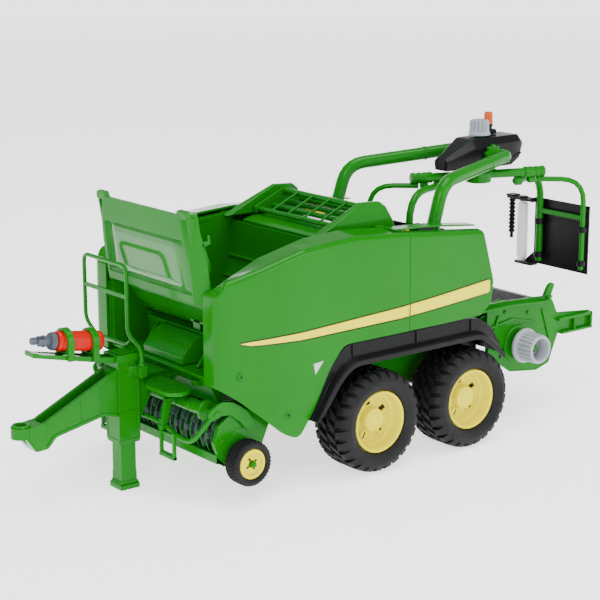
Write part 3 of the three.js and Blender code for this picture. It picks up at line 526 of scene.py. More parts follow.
def panel_rows(base, inwards, low, top, inner, inner_z, corner=4.2):
    """Each station's section: up the side, round a quarter circle, then straight to the inner
    edge. base and inwards are plan points and directions; the others are heights."""
    up = np.linspace(0, 1, 16)[None]
    z = low[:, None] + (top - corner - low)[:, None] * up
    side = np.concatenate([base[:, None] + inwards[:, None] * crown(z)[..., None], z[..., None]], -1)
    a = np.linspace(0, math.pi / 2, 8)[None, 1:]
    turn_in = crown(top - corner)[:, None] + corner * (1 - np.cos(a))
    arc_z = (top - corner)[:, None] + corner * np.sin(a)
    arc = np.concatenate([base[:, None] + inwards[:, None] * turn_in[..., None], arc_z[..., None]], -1)
    last = arc[:, -1:]
    goal = np.concatenate([inner, inner_z[:, None]], 1)[:, None]
    band = last + (goal - last) * np.linspace(0, 1, 6)[None, 1:, None]
    return np.concatenate([side, arc, band], 1)


def front_panel():
    """Stations close together round the nose and along the side, each with its own section."""
    nose = PANEL_PLAN[PANEL_PLAN[:, 0] > 127.5]
    x = np.unique(np.concatenate([np.linspace(126, SPLIT + 0.2, 66), np.linspace(78, 28, 46)]))[::-1]
    base = np.concatenate([nose, np.stack([x, table_at(PANEL_SIDE, x)], 1)])
    way = np.gradient(base, axis=0)
    way /= np.linalg.norm(way, axis=1)[:, None]
    inwards = np.stack([-way[:, 1], way[:, 0]], 1)
    inner = np.stack([np.minimum(base[:, 0], 131), np.full(len(base), 64.6)], 1)
    px = base[:, 0]
    inner_z = table_at(BAND_EDGE, np.minimum(px, 131))
    rows = panel_rows(base, inwards, table_at(PANEL_LOW, px), table_at(PANEL_TOP, px), inner, inner_z)
    pair("front_panel_skin", sheet(rows), "frame", green,
         stands_for=["front_panel_{}"], wall=1.7, outwards=(0.3, 1, 0.2), bevel=0.35, angle=28)


def rear_panel():
    """Sections as the front panel's, on a straight plan. Its back edge is then drawn out by the
    back edge's curve times the share of the length to the power 1.5."""
    t = np.linspace(0, 1, 34)
    x = SPLIT - 0.2 + (PANEL_END - SPLIT) * t
    top = table_at(PANEL_TOP, x)
    base = np.stack([x, on_panel(x, np.full_like(x, 118.0), 0)[:, 1]], 1)
    inwards = np.tile([0.0, -1.0], (len(x), 1))
    inner = np.stack([x, np.full_like(x, INNER_EDGE)], 1)
    rows = panel_rows(base, inwards, np.full_like(x, PANEL_FOOT), top, inner, top + 0.7)
    rear = table_at(PANEL_REAR, rows[..., 2]) - PANEL_END
    before = table_at(PANEL_SIDE, rows[..., 0])
    rows[..., 0] += rear * t[:, None] ** 1.5
    after = table_at(PANEL_SIDE, rows[..., 0])
    rows[..., 1] += (after - before) * np.clip((rows[..., 1] - INNER_EDGE) / 6, 0, 1)
    pair("rear_panel_skin", sheet(rows), "frame", green,
         stands_for=["rear_panel_{}"], wall=1.7, outwards=(0, 1, 0.2), bevel=0.35, angle=28)
    flap = slab([[-22, 177.4], [-60, 175.8], [-104, 171.4], [-104, 172.6], [-60, 177.2], [-22, 178.6]],
                "xz", 68, 79.5)
    pair("panel_flap", flap, "frame", green, bevel=0.4)
    clip = brick((-62, 69, 172.6), (-46, 78.5, 176))
    pair("flap_clip", clip, "frame", black, bevel=0.5)


def stripes():
    """A band of colour along each panel between two heights that change with the length, laid
    on the panel's own surface; a wider black one lies under the yellow one."""
    low = [[120, 116.3], [112, 114.2], [70, 112], [-24, 113.2], [-115, 118.6]]
    high = [[120, 116.6], [112, 117.0], [70, 117.2], [-24, 121.6], [-115, 128.9]]
    parts = ("front", np.linspace(120, SPLIT + 0.6, 60)), ("rear", np.linspace(SPLIT - 0.6, -117, 40))
    layers = ("edge", stripe_black, 0.9, 0.1), ("stripe", stripe_yellow, 0.0, 0.18)
    for part, x in parts:
        for name, finish, margin, lift in layers:
            share = np.linspace(0, 1, 5)[None]
            z0, z1 = table_at(low, x)[:, None] - margin, table_at(high, x)[:, None] + margin
            z = z0 + (z1 - z0) * share
            ahead = np.minimum(1, (x[:, None] + 118.5) / 2) if part == "rear" else 1
            rows = on_panel(np.repeat(x[:, None], 5, 1), z * ahead + 124 * (1 - ahead), lift)
            pair(f"{part}_{name}", sheet(rows), "frame", finish, wall=0.1, outwards=(0, 1, 0))


def panel_fittings():
    """Screw wells: a raised ring round a sunk screw whose cross cut is two dark bars of painted shade; and a
    pale three-cornered sticker.
    """
    for n, (x, z) in enumerate(((119.7, 92.9), (80.6, 58.6))):
        seat = on_panel(np.array(x), np.array(z), 0)
        ring = lathe([[2.7, -0.6], [3.7, -0.6], [3.7, 0.15], [3.4, 0.35], [2.9, 0.35], [2.7, 0.1]], seat,
                     ACROSS, 40)
        screw = disc([[2.5, -0.5], [2.5, 0.02], [2.2, 0.12]], seat, ACROSS, 32)
        # The cross cut is two dark bars laid on the screw head: painted shade.
        slot_a = moved(brick((-1.7, 0.12, -0.3), (1.7, 0.2, 0.3)), seat)
        slot_b = moved(brick((-0.3, 0.12, -1.7), (0.3, 0.2, 1.7)), seat)
        pair(f"screw_well_{n}", together(ring, screw), "frame", green, bevel=0.1)
        pair(f"screw_slot_{n}", together(slot_a, slot_b), "frame", painted_shade)
    front, rear, tip = np.array([[59.0, 92.6], [49.6, 93.6], [57.2, 84.4]])
    a = front + (tip - front) * np.linspace(0, 1, 8)[:, None]
    b = rear + (tip - rear) * np.linspace(0, 0.97, 8)[:, None]
    across = a[:, None] + (b - a)[:, None] * np.linspace(0, 1, 6)[None, :, None]
    rows = on_panel(across[..., 0], across[..., 1], 0.14)
    pair("pale_triangle", sheet(rows), "frame", pale_sticker, wall=0.1, outwards=(0, 1, 0))


# ------------------------------------------------------------------ wheels

WHEEL_MIDDLE = 76.7  # a road wheel's own middle, across
LUGS_ROUND = 26
# Half a road tyre's tread and its lugs' height, as (distance across, radius) and (distance, height).
TREAD = [[0, 36.5], [9, 36.4], [13, 35.9], [15, 35.1], [16.5, 33.9], [17.8, 32.2], [18.5, 30.6]]
LUG = [[0, 2.5], [9, 2.55], [14, 2.6], [16.5, 2.5], [18.5, 1.0]]


def lugs(start, end, slant, width, count, turn, centre, tread=TREAD, height=LUG, stations=7):
    """A four-cornered block carried over the tread from one distance across to another. Its
    middle goes round the wheel by the slant as it crosses, and it stands on the tread's radius."""
    a = np.linspace(start, end, stations)
    radius, rise = table_at(tread, abs(a)), table_at(height, abs(a))
    middle = math.radians(slant) * (a - start) / (end - start)
    half = width / 2 / radius
    angle = middle[:, None] + half[:, None] * np.array([-1, -0.84, 0.84, 1])[None]
    r = radius[:, None] + np.array([-0.7, 0, 0, -0.7])[None] + rise[:, None] * np.array([0, 1, 1, 0])[None]
    points = np.stack([r * np.sin(angle), np.repeat(a[:, None], 4, 1), r * np.cos(angle)], -1)
    ends = np.array([np.arange(4)[::-1], (stations - 1) * 4 + np.arange(4)])
    faces = [grid_faces(stations, 4, close_columns=True), ends]
    block = points.reshape(-1, 3) + np.asarray(centre, float), faces
    return round_copies(block, centre, ACROSS, count, math.radians(turn))


def mirrored_profile(half):
    """A profile across a wheel: the given half, then its mirror image in the wheel's middle."""
    half = np.asarray(half, float)
    return np.concatenate([half, half[::-1] * (1, -1)])


def road_wheel(end):
    """Tyre: a rounded carcass turned round the axle with four rows of lugs standing on it. Rim:
    one profile from the hub's face over the dish, the lip and the barrel to the back."""
    x, _, z = joint_place(f"wheel_{end}_left_spin")
    centre = np.array([x, WHEEL_MIDDLE, z])
    wall = eased(
        [[23.8, 14.6], [24.6, 16.6], [27.0, 17.9], [31.0, 18.8], [33.8, 17.6], [35.3, 15.4], [36.2, 12.5],
         [36.5, 0.01]],
        1.8, 4)
    carcass = lathe(mirrored_profile(wall), centre, ACROSS, 112)
    half_pitch = 180 / LUGS_ROUND
    rows = []
    for side, turn in ((1, 0), (-1, half_pitch)):
        rows.append(lugs(9.4 * side, 18.4 * side, -3.0 * side, 6.3, LUGS_ROUND, turn, centre))
        rows.append(lugs(0.7 * side, 8.6 * side, 7.5 * side, 4.4, LUGS_ROUND, turn + 1.0, centre))
    bars = lugs(2.2, 7.2, 5.0, 1.6, LUGS_ROUND, 8.2, centre, height=[[0, 1.1], [19, 1.1]], stations=3)
    tyre = together(carcass, *rows, bars)
    profile = eased(
        [[0.05, 9.3], [8.1, 9.3], [8.8, 8.6], [8.9, 2.9], [9.6, 2.0], [15.4, 2.2], [16.2, 3.1], [17.6, 3.4],
         [18.6, 5.6], [20.3, 6.6], [20.9, 13.6], [21.5, 15.2], [22.8, 15.5], [23.5, 14.6], [23.5, -14.8],
         [20.9, -14.6], [20.6, -7.0], [18.0, -5.2], [8.8, -5.0], [8.4, -10.8], [3.7, -10.8], [3.7, 3.4],
         [0.05, 3.4]], 0.7, 4)
    rim = disc(profile, centre, ACROSS, 72)
    step = disc([[5.4, 9.1], [5.4, 9.6], [5.0, 9.8]], centre, ACROSS, 40)
    tab = brick(centre + (-3.6, 2.0, 11.0), centre + (-1.4, 4.6, 15.6))
    window = brick(centre + (-1.3, 1.4, 11.0), centre + (1.5, 2.9, 15.6))
    tabs, windows = (round_copies(shape, centre, ACROSS, 5, 1.4) for shape in (tab, window))
    body = f"wheel_{end}_" + "{}"
    pair(f"road_tyre_{end}", tyre, body, compound, stands_for=[f"tyre_{end}_" + "{}"], angle=40)
    pair(f"wheel_dish_{end}", together(rim, step, tabs), body, yellow, stands_for=[f"rim_{end}_" + "{}"])
    # Dark bricks on the dish between the tabs: painted shade in the rim's windows.
    pair(f"rim_window_{end}", windows, body, painted_shade)


def gauge_wheels():
    """The small wheels beside the pickup: as the road wheels, with a fine square tread."""
    centre = GAUGE_WHEEL
    wall = eased([[11.2, 5.6], [12.4, 6.7], [14.2, 6.9], [15.6, 5.6], [15.9, 0.01]], 0.9, 5)
    carcass = lathe(mirrored_profile(wall), centre, ACROSS, 72)
    flat, low = [[0, 15.85], [5.2, 15.75], [6.4, 15.0]], [[0, 0.5], [5.6, 0.5], [6.6, 0.15]]
    rows = [lugs(a, a + 2.4, 3, 1.7, 36, turn, centre, flat, low, 3)
            for a, turn in ((-5.9, 0), (-2.9, 5), (0.3, 0), (3.3, 5))]
    pair("small_tyre", together(carcass, *rows), "gauge_wheel_{}", compound,
         stands_for=["gauge_tyre_{}"], angle=40)
    profile = eased(
        [[2.7, 4.2], [4.6, 4.2], [5.0, 3.4], [7.8, 3.2], [8.3, 4.0], [8.6, 5.6], [10.2, 5.9], [10.9, 5.2],
         [10.9, -5.2], [9.4, -5.6], [8.6, -4.4], [2.7, -4.4]], 0.4, 3)
    rim = lathe(profile, centre, ACROSS, 56)
    pair("small_wheel_dish", rim, "gauge_wheel_{}", yellow, stands_for=["gauge_rim_{}"])
    # Dark bricks on the rim: painted shade in its notches.
    notch = brick(centre + (-0.8, 3.1, 2.9), centre + (0.8, 4.25, 4.8))
    pair("gauge_notch", round_copies(notch, centre, ACROSS, 4, 0.5), "gauge_wheel_{}", painted_shade)
    pin = disc([[2.0, 5.6], [2.35, 5.8], [2.35, 6.6], [1.5, 8.0], [0.6, 8.5]], centre, ACROSS, 10)
    pair("gauge_pin", pin, "pickup", green)


def fenders():
    """A skin between three matched paths: its top, the crease under its wall and its lower edge.
    Each row runs flat across the top, then part way to the crease and part way to the edge."""
    top, crease, edge = (eased(path, 9, 9) for path in (
        [[62.6, 51.5], [57.6, 58.5], [43.4, 86], [30.4, 101.5], [-100, 101.5], [-113, 96], [-123, 85.5],
         [-130, 70]],
        [[60.8, 51], [55.4, 57.6], [39.6, 81.6], [27, 90.8], [-98, 91.2], [-108.6, 88], [-119.6, 79.6],
         [-128.4, 68.6]],
        [[59.0, 50.4], [52.8, 55.6], [36.4, 77.6], [25.2, 85.8], [-96.6, 86.2], [-105.4, 84],
         [-115.6, 76.4], [-125.4, 67]]))
    across = np.array([58, 74, 84.8, 86.0, 86.4, 86.5, 86.9, 88.2, 90.6, 92.0, 92.7, 92.8, 92.8])
    wall = np.array([0, 0, 0, 0.02, 0.09, 0.8, 0.9, 0.96, 0.99, 1, 1, 1, 1])[None, :, None]
    lip = np.array([0, 0, 0, 0, 0, 0, 0, 0.02, 0.06, 0.14, 0.32, 0.6, 1])[None, :, None]
    spot = top[:, None] + (crease - top)[:, None] * wall + (edge - crease)[:, None] * lip
    rows = np.stack([spot[..., 0], np.repeat(across[None], len(top), 0), spot[..., 1]], -1)
    pair("fender_skin", sheet(rows), "frame", black, stands_for=["fender_{}"],
         wall=1.5, outwards=(0, 0.4, 1), bevel=0.2, angle=30)
    rib = slab([[12, 91.6], [13.4, 91.6], [13.4, 100.6], [12, 100.6]], "xz", 86, 87.6)
    liner = slab([[-101, 99], [-113, 95.4], [-122, 85.6], [-130.6, 70], [-130.6, 62], [-108, 62],
                  [-104, 78]], "xz", 54.8, 57.3)
    pair("fender_liner", liner, "frame", black, bevel=0.3)
    pair("fender_rib", copies(rib, np.outer([10, -52, -108], AHEAD)), "frame", black, bevel=0.2)


front_panel()
rear_panel()
stripes()
panel_fittings()
for wheel_end in ("front", "rear"):
    road_wheel(wheel_end)
gauge_wheels()
fenders()

# ------------------------------------------------------------------ lid

def on_lid(*shapes):
    """From the lid's own upright frame to its place: leaned nine degrees about its hinge line."""
    return moved(turned(together(*shapes), (0, 0, 0), ACROSS, 9), LID_HINGE)


def lid():
    """The face is a grid: heights by columns that spread from the middle to the pane's edge and
    on to the fold, where the flank falls back. Inside the pane's edge the face is sunk 0.8."""
    z = np.array([-3.5, -2.9, -1.5, 1, 2.7, 3.3, 8, 16, 24, 26, 30, 36, 41.7, 42.3, 45, 50, 55, 58.6, 60])
    half = np.interp(z, [-3.5, 26, 60], [63.7, 63.7, 58.0])
    pane = np.interp(z, [-3.5, 3, 42, 60], [52.6, 52.6, 49.4, 48])
    edge = np.array([0, 0.25, 0.5, 0.75, 0.992, 1.012])
    flank = np.array([[-9.2, 0], [-8.2, 0.1], [-7.2, 0.7], [-1.0, 6.9], [-0.3, 8.1], [0, 9.2]])
    y = np.concatenate([pane[:, None] * edge, half[:, None] + flank[None, :, 0]], 1)
    sunk = ((z > 3) & (z < 42))[:, None] * np.array([1, 1, 1, 1, 1, 0])[None] * 0.8
    lean = np.interp(z, [44, 60], [0, 1.6])[:, None]
    x = 7.5 - lean - np.concatenate([sunk, np.repeat(flank[None, :, 1], len(z), 0)], 1)
    x, y = np.concatenate([x[:, :0:-1], x], 1), np.concatenate([-y[:, :0:-1], y], 1)
    rows = np.stack([x, y, np.repeat(z[:, None], x.shape[1], 1)], -1)
    piece("lid_face", on_lid(sheet(rows)), "lid", green,
          stands_for=["lid"], wall=1.7, outwards=(1, 0, 0.1), bevel=0.3, angle=24)
    t, u = np.linspace(0, 1, 6), np.linspace(-1, 1, 9)
    height, side = 3.4 + 38.2 * t, (52.0 - 3.2 * t)[:, None] * u[None]
    pane_rows = np.stack([np.full_like(side, 6.78), side, np.repeat(height[:, None], 9, 1)], -1)
    # The pane's paler tone is painted reflection.
    piece("lid_pane", on_lid(sheet(pane_rows)), "lid", pane_green, wall=0.15, outwards=(1, 0, 0))
    flange = slab([[5.4, -3.4], [1, -3.5], [-2, 0], [-2, 14], [-8, 17], [-8, 24], [-2, 56], [5.0, 59.6]],
                  "xz", 55.5, 57.5)
    hook = slab([[-1, 34], [-11, 36], [-11, 42], [-9.2, 42], [-8.6, 38.6], [-1, 38]], "xz", 55.5, 57.5)
    horn = slab([[44.5, 57], [46.4, 62.9], [56.4, 62.9], [57.6, 60], [57.6, 57]], "yz", 1.6, 5.9)
    pin = rod((0, 56, 0), (0, 63, 0), 2.0, 20)
    ribs = [brick((3.6, y - 0.6, -2), (5.7, y + 0.6, 56)) for y in (18, 37)]
    half_lid = together(flange, hook, horn, pin, *ribs)
    rim = brick((0.6, -57, 56.6), (5.2, 57, 58.4))
    cross = brick((3.4, -55, 19), (5.7, 55, 20.2))
    piece("lid_frame", on_lid(both(half_lid), rim, cross), "lid", green, bevel=0.45)


# ------------------------------------------------------------------ front end


def raised_edges(low, high, lift, width):
    """Four strips up a post's corners, standing a little proud of its sides."""
    (x0, y0, z0), (x1, y1, z1) = low, high
    reach = width + lift
    corners = [(x0 - lift, y0 - lift), (x1 - width, y0 - lift), (x0 - lift, y1 - width),
               (x1 - width, y1 - width)]
    return together(*[brick((x, y, z0), (x + reach, y + reach, z1)) for x, y in corners])


def jack_and_drawbar():
    """The post, its foot and the towing beam keep their own shapes with eased edges. Edges,
    bands and flanges are outlines carried straight across, and the eye's collar is turned."""
    moulded_edges("jack_post", 0.6, 2)
    edges = raised_edges((155.5, -8.5, 37), (172.5, 8.5, 93.5), 0.35, 1.5)
    band = [brick((155.1, y, 0), (172.9, y + 0.8, 1.4)) for y in (-8.9, 8.1)]
    band += [brick((x, -8.9, 0), (x + 0.8, 8.9, 1.4)) for x in (155.1, 172.1)]
    bands = copies(together(*band), np.outer([37, 58, 86.5], UP))
    cap, latch = brick((157.4, -6.8, 101), (170.6, 6.8, 102)), brick((171.4, -3.6, 88.4), (174.2, 3.6, 90.6))
    piece("post_edges", together(edges, bands, cap, latch), "frame", green, bevel=0.3)
    web = slab(eased([[118, 84.3], [146, 84.3], [154.5, 88.3], [154.5, 86.4], [147, 82.4], [118, 82.4]], 3),
               "xz", -8, 8)
    lower = slab(
        eased([[118, 75.6], [142, 73.6], [149, 61.6], [154.5, 51], [154.5, 53.6], [150.6, 62.6],
               [143, 75.8], [118, 77.6]], 4),
        "xz", -8, 8)
    piece("arm_flanges", together(web, lower), "frame", green, bevel=0.35)
    moulded_edges("jack_foot", 0.7, 3)
    foot_edges = raised_edges((157.75, -6.25, 5), (170.25, 6.25, 12.5), 0.15, 1.0)
    skirt = slab([[156, 4], [172, 4], [170.6, 6.4], [157.4, 6.4]], "xz", -6.6, 6.6)
    piece("foot_skirt", together(skirt, foot_edges), "jack_leg", green, bevel=0.25)

    moulded_edges("drawbar", 0.7, 3)
    top = slab([[173.2, 90.9], [231, 63.4], [231, 61.2], [173.2, 88.4]], "xz", 7.2, 8.2)
    low = slab(
        eased([[173.2, 56.2], [184, 59.2], [223.5, 51.2], [229.5, 44.4], [231.4, 45.4], [225.4, 53],
               [184.4, 61.3], [173.2, 58.4]], 2, 3), "xz", 7.2, 8.2)
    steps = [
        slab([[x, 90.9 - (x - 173.2) * 0.476], [x + 1.2, 90.3 - (x - 173.2) * 0.476],
              [x + 1.2, 60.8 - (x - 184) * 0.2], [x, 60.8 - (x - 184) * 0.2]], "xz", 7.2, 7.8)
        for x in (186, 202)]
    nose = slab(eased([[231, 63.2], [244, 61.6], [244, 54.4], [239, 44.6], [231, 45]], 2, 4), "xz", 7.2, 7.9)
    piece("drawbar_edges", both(together(top, low, *steps, nose)), "frame", green, bevel=0.3)
    collar = lathe([[4.1, 0], [6.4, 0], [6.8, 0.7], [6.0, 1.6], [4.6, 1.6], [4.1, 1.0]], (246.4, 0, 61.6),
                   UP, 40)
    piece("eye_collar", collar, "frame", green, bevel=0.15)


def rail():
    """A thin tube bent to a loop with eased corners, with one flat rung across it."""
    loop = tube(
        [[156, 13.5, 88], [156, 13.5, 104], [156, -4, 112], [156, -4, 161], [156, -61, 161], [156, -61, 112],
         [156, -47, 103], [156, -4, 103.5], [156, 0, 108]], 1.5, 6, 16, AHEAD)
    rung = brick((155.0, -60.5, 137), (157.0, -4.5, 140))
    collar = disc([[1.6, 92.0], [2.6, 92.2], [2.6, 93.6], [2.1, 94.4], [1.6, 94.6]], (156, 13.5, 0), UP, 24)
    piece("rail_loop", together(loop, rung, collar), "frame", green,
          stands_for=["platform_rail"], bevel=0.3)
    cup = lathe([[1.75, 84], [3.0, 84], [3.0, 91.6], [2.6, 92.0], [1.75, 92.0]], (156, 13.5, 0.2), UP, 28)
    piece("rail_cup", cup, "frame", green, bevel=0.2)


def treads():
    """Steps with a fine grid of studs: a low six-sided stud at each place of a square grid that
    lies inside the plate's outline."""
    outline = eased([[136, 20], [136, 7.3], [151, 7.3], [157, 20], [157, 46], [150, 52], [142, 52],
                     [136, 46], [136, 20]], 4, 5)
    plate = slab(outline[:-1], "xy", 77, 79.6)
    edge = tube(np.concatenate([outline, [[136, 19.0]]]) @ np.eye(2, 3) + (0, 0, 79.3), 0.7, 0.5, 8, UP)
    x, y = (axis.ravel() for axis in np.meshgrid(np.arange(138.6, 156, 2.5), np.arange(9.9, 51, 2.5)))
    inside = 2 * (x - 157) + 31 < 54 - 0.6 * abs(y - 31)
    inside &= (y < 49) & (x < 154.8 - np.maximum(0, 20 - y) * 0.42 - np.maximum(0, y - 45) * 1.1)
    stud = disc([[0.85, 79.4], [0.8, 80.1], [0.45, 80.5]], (0, 0, 0), UP, 6)
    studs = copies(stud, np.stack([x[inside], y[inside], np.zeros(inside.sum())], 1))
    web = slab([[138, 77.2], [152, 77.2], [140, 70], [138, 70]], "xz", 28, 29.6)
    pair("tread_plate", together(plate, edge, studs, web), "frame", green,
         stands_for=["tread_{}"])


def drive_shaft():
    """Everything is turned round the shaft's own line, from its guard's rear end forwards."""
    rear, ahead = np.array([181.5, 0, 112.0]), np.array([36.0, 0, 5.6])
    length = float(np.linalg.norm(ahead))
    line = ahead / length
    guard = eased(
        [[4.6, 0], [6.9, 0.2], [7.2, 3.0], [6.8, 3.6], [6.8, 4.6], [7.2, 5.2], [7.2, 31.2], [6.8, 31.8],
         [6.8, 32.8], [7.2, 33.4], [6.9, length - 0.2], [4.6, length]], 0.8, 3)
    piece("guard_tube", disc(guard, rear, line, 48), "frame", red, stands_for=["shaft_guard"])
    tip = rear + line * length
    collar = disc(eased([[3.4, 0.3], [6.3, 0.5], [6.5, 2.2], [5.9, 4.4], [4.2, 5.2], [3.2, 5.2]], 0.6, 3),
                  tip, line, 40)
    neck = disc([[3.6, 5.0], [3.6, 8.0], [4.2, 8.4], [4.2, 10.0], [3.4, 10.4]], tip, line, 32)
    middle = tip + line * 12.4
    yoke = [
        slab([[8.4, -2.1], [14.2, -2.1], [15.0, -1], [15.0, 1], [14.2, 2.1], [8.4, 2.1]], "xz", y, y + 1.7)
        for y in (2.9, -4.6)]
    cross = rod(middle + (0, -4.7, 0), middle + (0, 4.7, 0), 1.6, 16)
    upright = rod(middle + (0, 0, -3.6), middle + (0, 0, 3.6), 1.5, 16)
    fork = slab([[10.6, -0.9], [18.9, -0.9], [18.9, 0.9], [10.6, 0.9]], "xz", -2.2, 2.2)
    yoke, fork = (moved(turned(shape, (0, 0, 0), ACROSS, -8.8), tip) for shape in (together(*yoke), fork))
    hub = disc([[2.2, 14.4], [2.6, 14.8], [2.6, 18.6], [2.2, 19.0]], tip, line, 24)
    piece("joint_yokes", together(collar, neck, yoke, cross, upright, fork, hub), "frame", slate,
          stands_for=["shaft_joint"], bevel=0.2)
    tray = slab(
        [[173.1, 95.5], [176, 95.5], [238, 110], [238, 113.2], [236.4, 113.2], [230, 110.8], [176, 98.4],
         [173.1, 98.4]],
        "xz", -6, 6)
    wall = slab([[173.1, 95.6], [176, 95.6], [237.6, 110.2], [237.6, 112.6], [176, 100], [173.1, 100]],
                "xz", 5.2, 6.6)
    rings = []
    for share in (0.22, 0.78):
        spot = rear + ahead * share
        rings.append(lathe([[7.7, -2.6], [9.3, -2.6], [9.6, -2.2], [9.6, 2.2], [9.3, 2.6], [7.7, 2.6]],
                           spot, AHEAD, 44))
        rings.append(both(brick(spot + (-2.5, 6.6, -13), spot + (2.5, 9.0, -2.5))))
    piece("tray_and_rings", together(tray, both(wall), *rings), "frame", green,
          stands_for=["shaft_tray"], bevel=0.35)


# ------------------------------------------------------------------ pickup


def pickup():
    """Toothed discs: the radius swings with a flattened cosine of six times the angle."""

    def teeth(t, _):
        """Nothing at the disc's own ends, six teeth between them."""
        deep = np.array([0, 1, 1, 1, 1, 0])[:, None]
        return deep * 3.3 * np.clip(1.9 * np.cos(6 * t), -1, 1)[None]

    core = disc([[3, -73.4], [3, -70.2], [9.4, -70.0], [9.4, 70.0], [3, 70.2], [3, 73.4]], REEL, ACROSS, 36)
    star = disc([[9.0, -2.2], [12.7, -2.2], [13.4, -1.2], [13.4, 1.2], [12.7, 2.2], [9.0, 2.2]], (0, 0, 0),
                ACROSS, 48, teeth)
    places = REEL + np.outer(np.arange(-64, 65, 6.4), ACROSS)
    twisted = turned(star, (0, 0, 0), ACROSS, 30)
    piece("reel_stars", together(core, copies(star, places[::2]), copies(twisted, places[1::2])), "tine_reel",
          slate, stands_for=["tine_reel"], angle=30)
    a = np.radians(np.linspace(-42, 150, 26))
    hoop = carried(circle(0.5, 8), REEL + 18.5 * (np.outer(np.cos(a), AHEAD) + np.outer(np.sin(a), UP)))
    hoops = copies(hoop, np.outer(np.arange(-67.2, 68, 6.4), ACROSS))
    piece("reel_hoops", hoops, "pickup", green)
    moulded_edges("pickup_frame", 0.5, 2)
    boss = disc([[6.4, 73.8], [6.4, 74.3], [5.6, 74.5], [3.4, 74.5]], REEL, ACROSS, 36)
    bolt = disc([[1.7, 73.8], [1.7, 74.3], [1.2, 74.5]], (0, 0, 0), ACROSS, 6)
    bolts = copies(bolt, [[99, 0, 38], [97, 0, 60], [90, 0, 68], [130, 0, 46]])
    scraper = slab([[127, 27.6], [134.5, 31], [134.5, 36.4], [132.2, 36.4], [131, 32.6]], "xz", 0, 73)
    pair("pickup_bolts", together(boss, bolts, scraper), "pickup", green, bevel=0.2)

    ends = [[2, 74.2], [2, 66.2], [2.4, 65.7], [7.0, 65.4], [7.4, 65.0], [7.4, 62.4], [7.0, 62],
            [5.2, 61.6], [5.0, 61]]
    grooves = [[r, y + step] for y in (48, 32, 16)
               for r, step in ((5.0, 1.2), (4.5, 0.8), (4.5, -0.8), (5.0, -1.2))]
    half = np.array(ends + grooves)
    roller = disc(np.concatenate([half * (1, -1), half[::-1]]), CROP_ROLLER, ACROSS, 40)
    piece("roller_turned", roller, "crop_roller", green, stands_for=["crop_roller"])

    arm = slab(
        eased([[104, 56], [110, 66], [122, 74], [132, 76], [143, 70], [141, 63], [132, 66], [124, 65],
               [116, 58], [110, 51], [104, 56]], 3, 4)[:-1], "xz", 74.6, 77)
    bow = tube([[150, 33, 52], [150, 50, 47], [150, 66, 47], [138.5, 76.4, 67.5]], 1.7, 9, 16)
    stay = slab([[150, 50], [154, 50], [150, 71.5], [144, 71.5]], "xz", 31.4, 34.6)
    foot = brick((149, 30.6, 49.6), (154.4, 35.4, 53))
    ladder = together(
        brick((151, 30, 30), (153.4, 32.4, 57)), brick((151, 46, 30), (153.4, 48.4, 50)),
        brick((150.6, 30, 30), (153.8, 48.4, 32.4)), brick((151.2, 30.4, 46.6), (153.2, 48, 48.6)))
    tooth = slab([[-1.0, 0], [1.0, 0], [0.4, 1.6], [-0.4, 1.6]], "yz", 150.8, 153.6)
    bite = copies(tooth, [[0, y, 32.2] for y in np.arange(34, 46, 2.6)])
    bar = rod((150, -34, 53), (150, 34, 53), 1.6, 14)
    pad = disc([[3.0, 76.8], [3.0, 77.3], [2.2, 77.9], [1.4, 77.9]], CROP_ROLLER, ACROSS, 20)
    piece("guard_bows", together(both(together(arm, bow, stay, foot, ladder, bite, pad)), bar), "pickup",
          green, stands_for=["crop_guard"], bevel=0.3)


lid()
jack_and_drawbar()
rail()
treads()
drive_shaft()
pickup()

# ------------------------------------------------------------------ wrapper arms, head and rotor


def wrapper_arms():
    """Round tubes with eased bends up to the head, each ending in a flange with a toothed edge."""
    arm = tube([[-62.5, 59.5, 112.3], [-91, 57, 203], [-189, 28, 211], [-184, 16.3, 211]], 5.2, 15, 28)
    band = [disc([[5.2, -1.2], [5.7, -0.8], [5.7, 0.8], [5.2, 1.2]], place, line, 28)
            for place, line in (((-71.2, 58.8, 140), (-28.5, -2.5, 90.7)),
                                ((-158, 37, 208.5), (-98, -29, 8)))]

    def toothed(t, _):
        """Nine teeth round the flange's rim."""
        return np.array([0, 1, 1, 0])[:, None] * 0.8 * np.clip(2 * np.cos(9 * t), -1, 1)[None]

    flange = disc([[5.6, 14.8], [7.8, 15.0], [7.8, 17.6], [6.2, 18.2]], (ROTOR, 0, 211), ACROSS, 72, toothed)
    socket = brick((-76.5, 54.2, 112.4), (-53, 65.4, 114.2))
    pair("arm_tube", together(arm, *band, flange, socket), "frame", green,
         stands_for=["wrapper_arm_{}"], bevel=0.2)


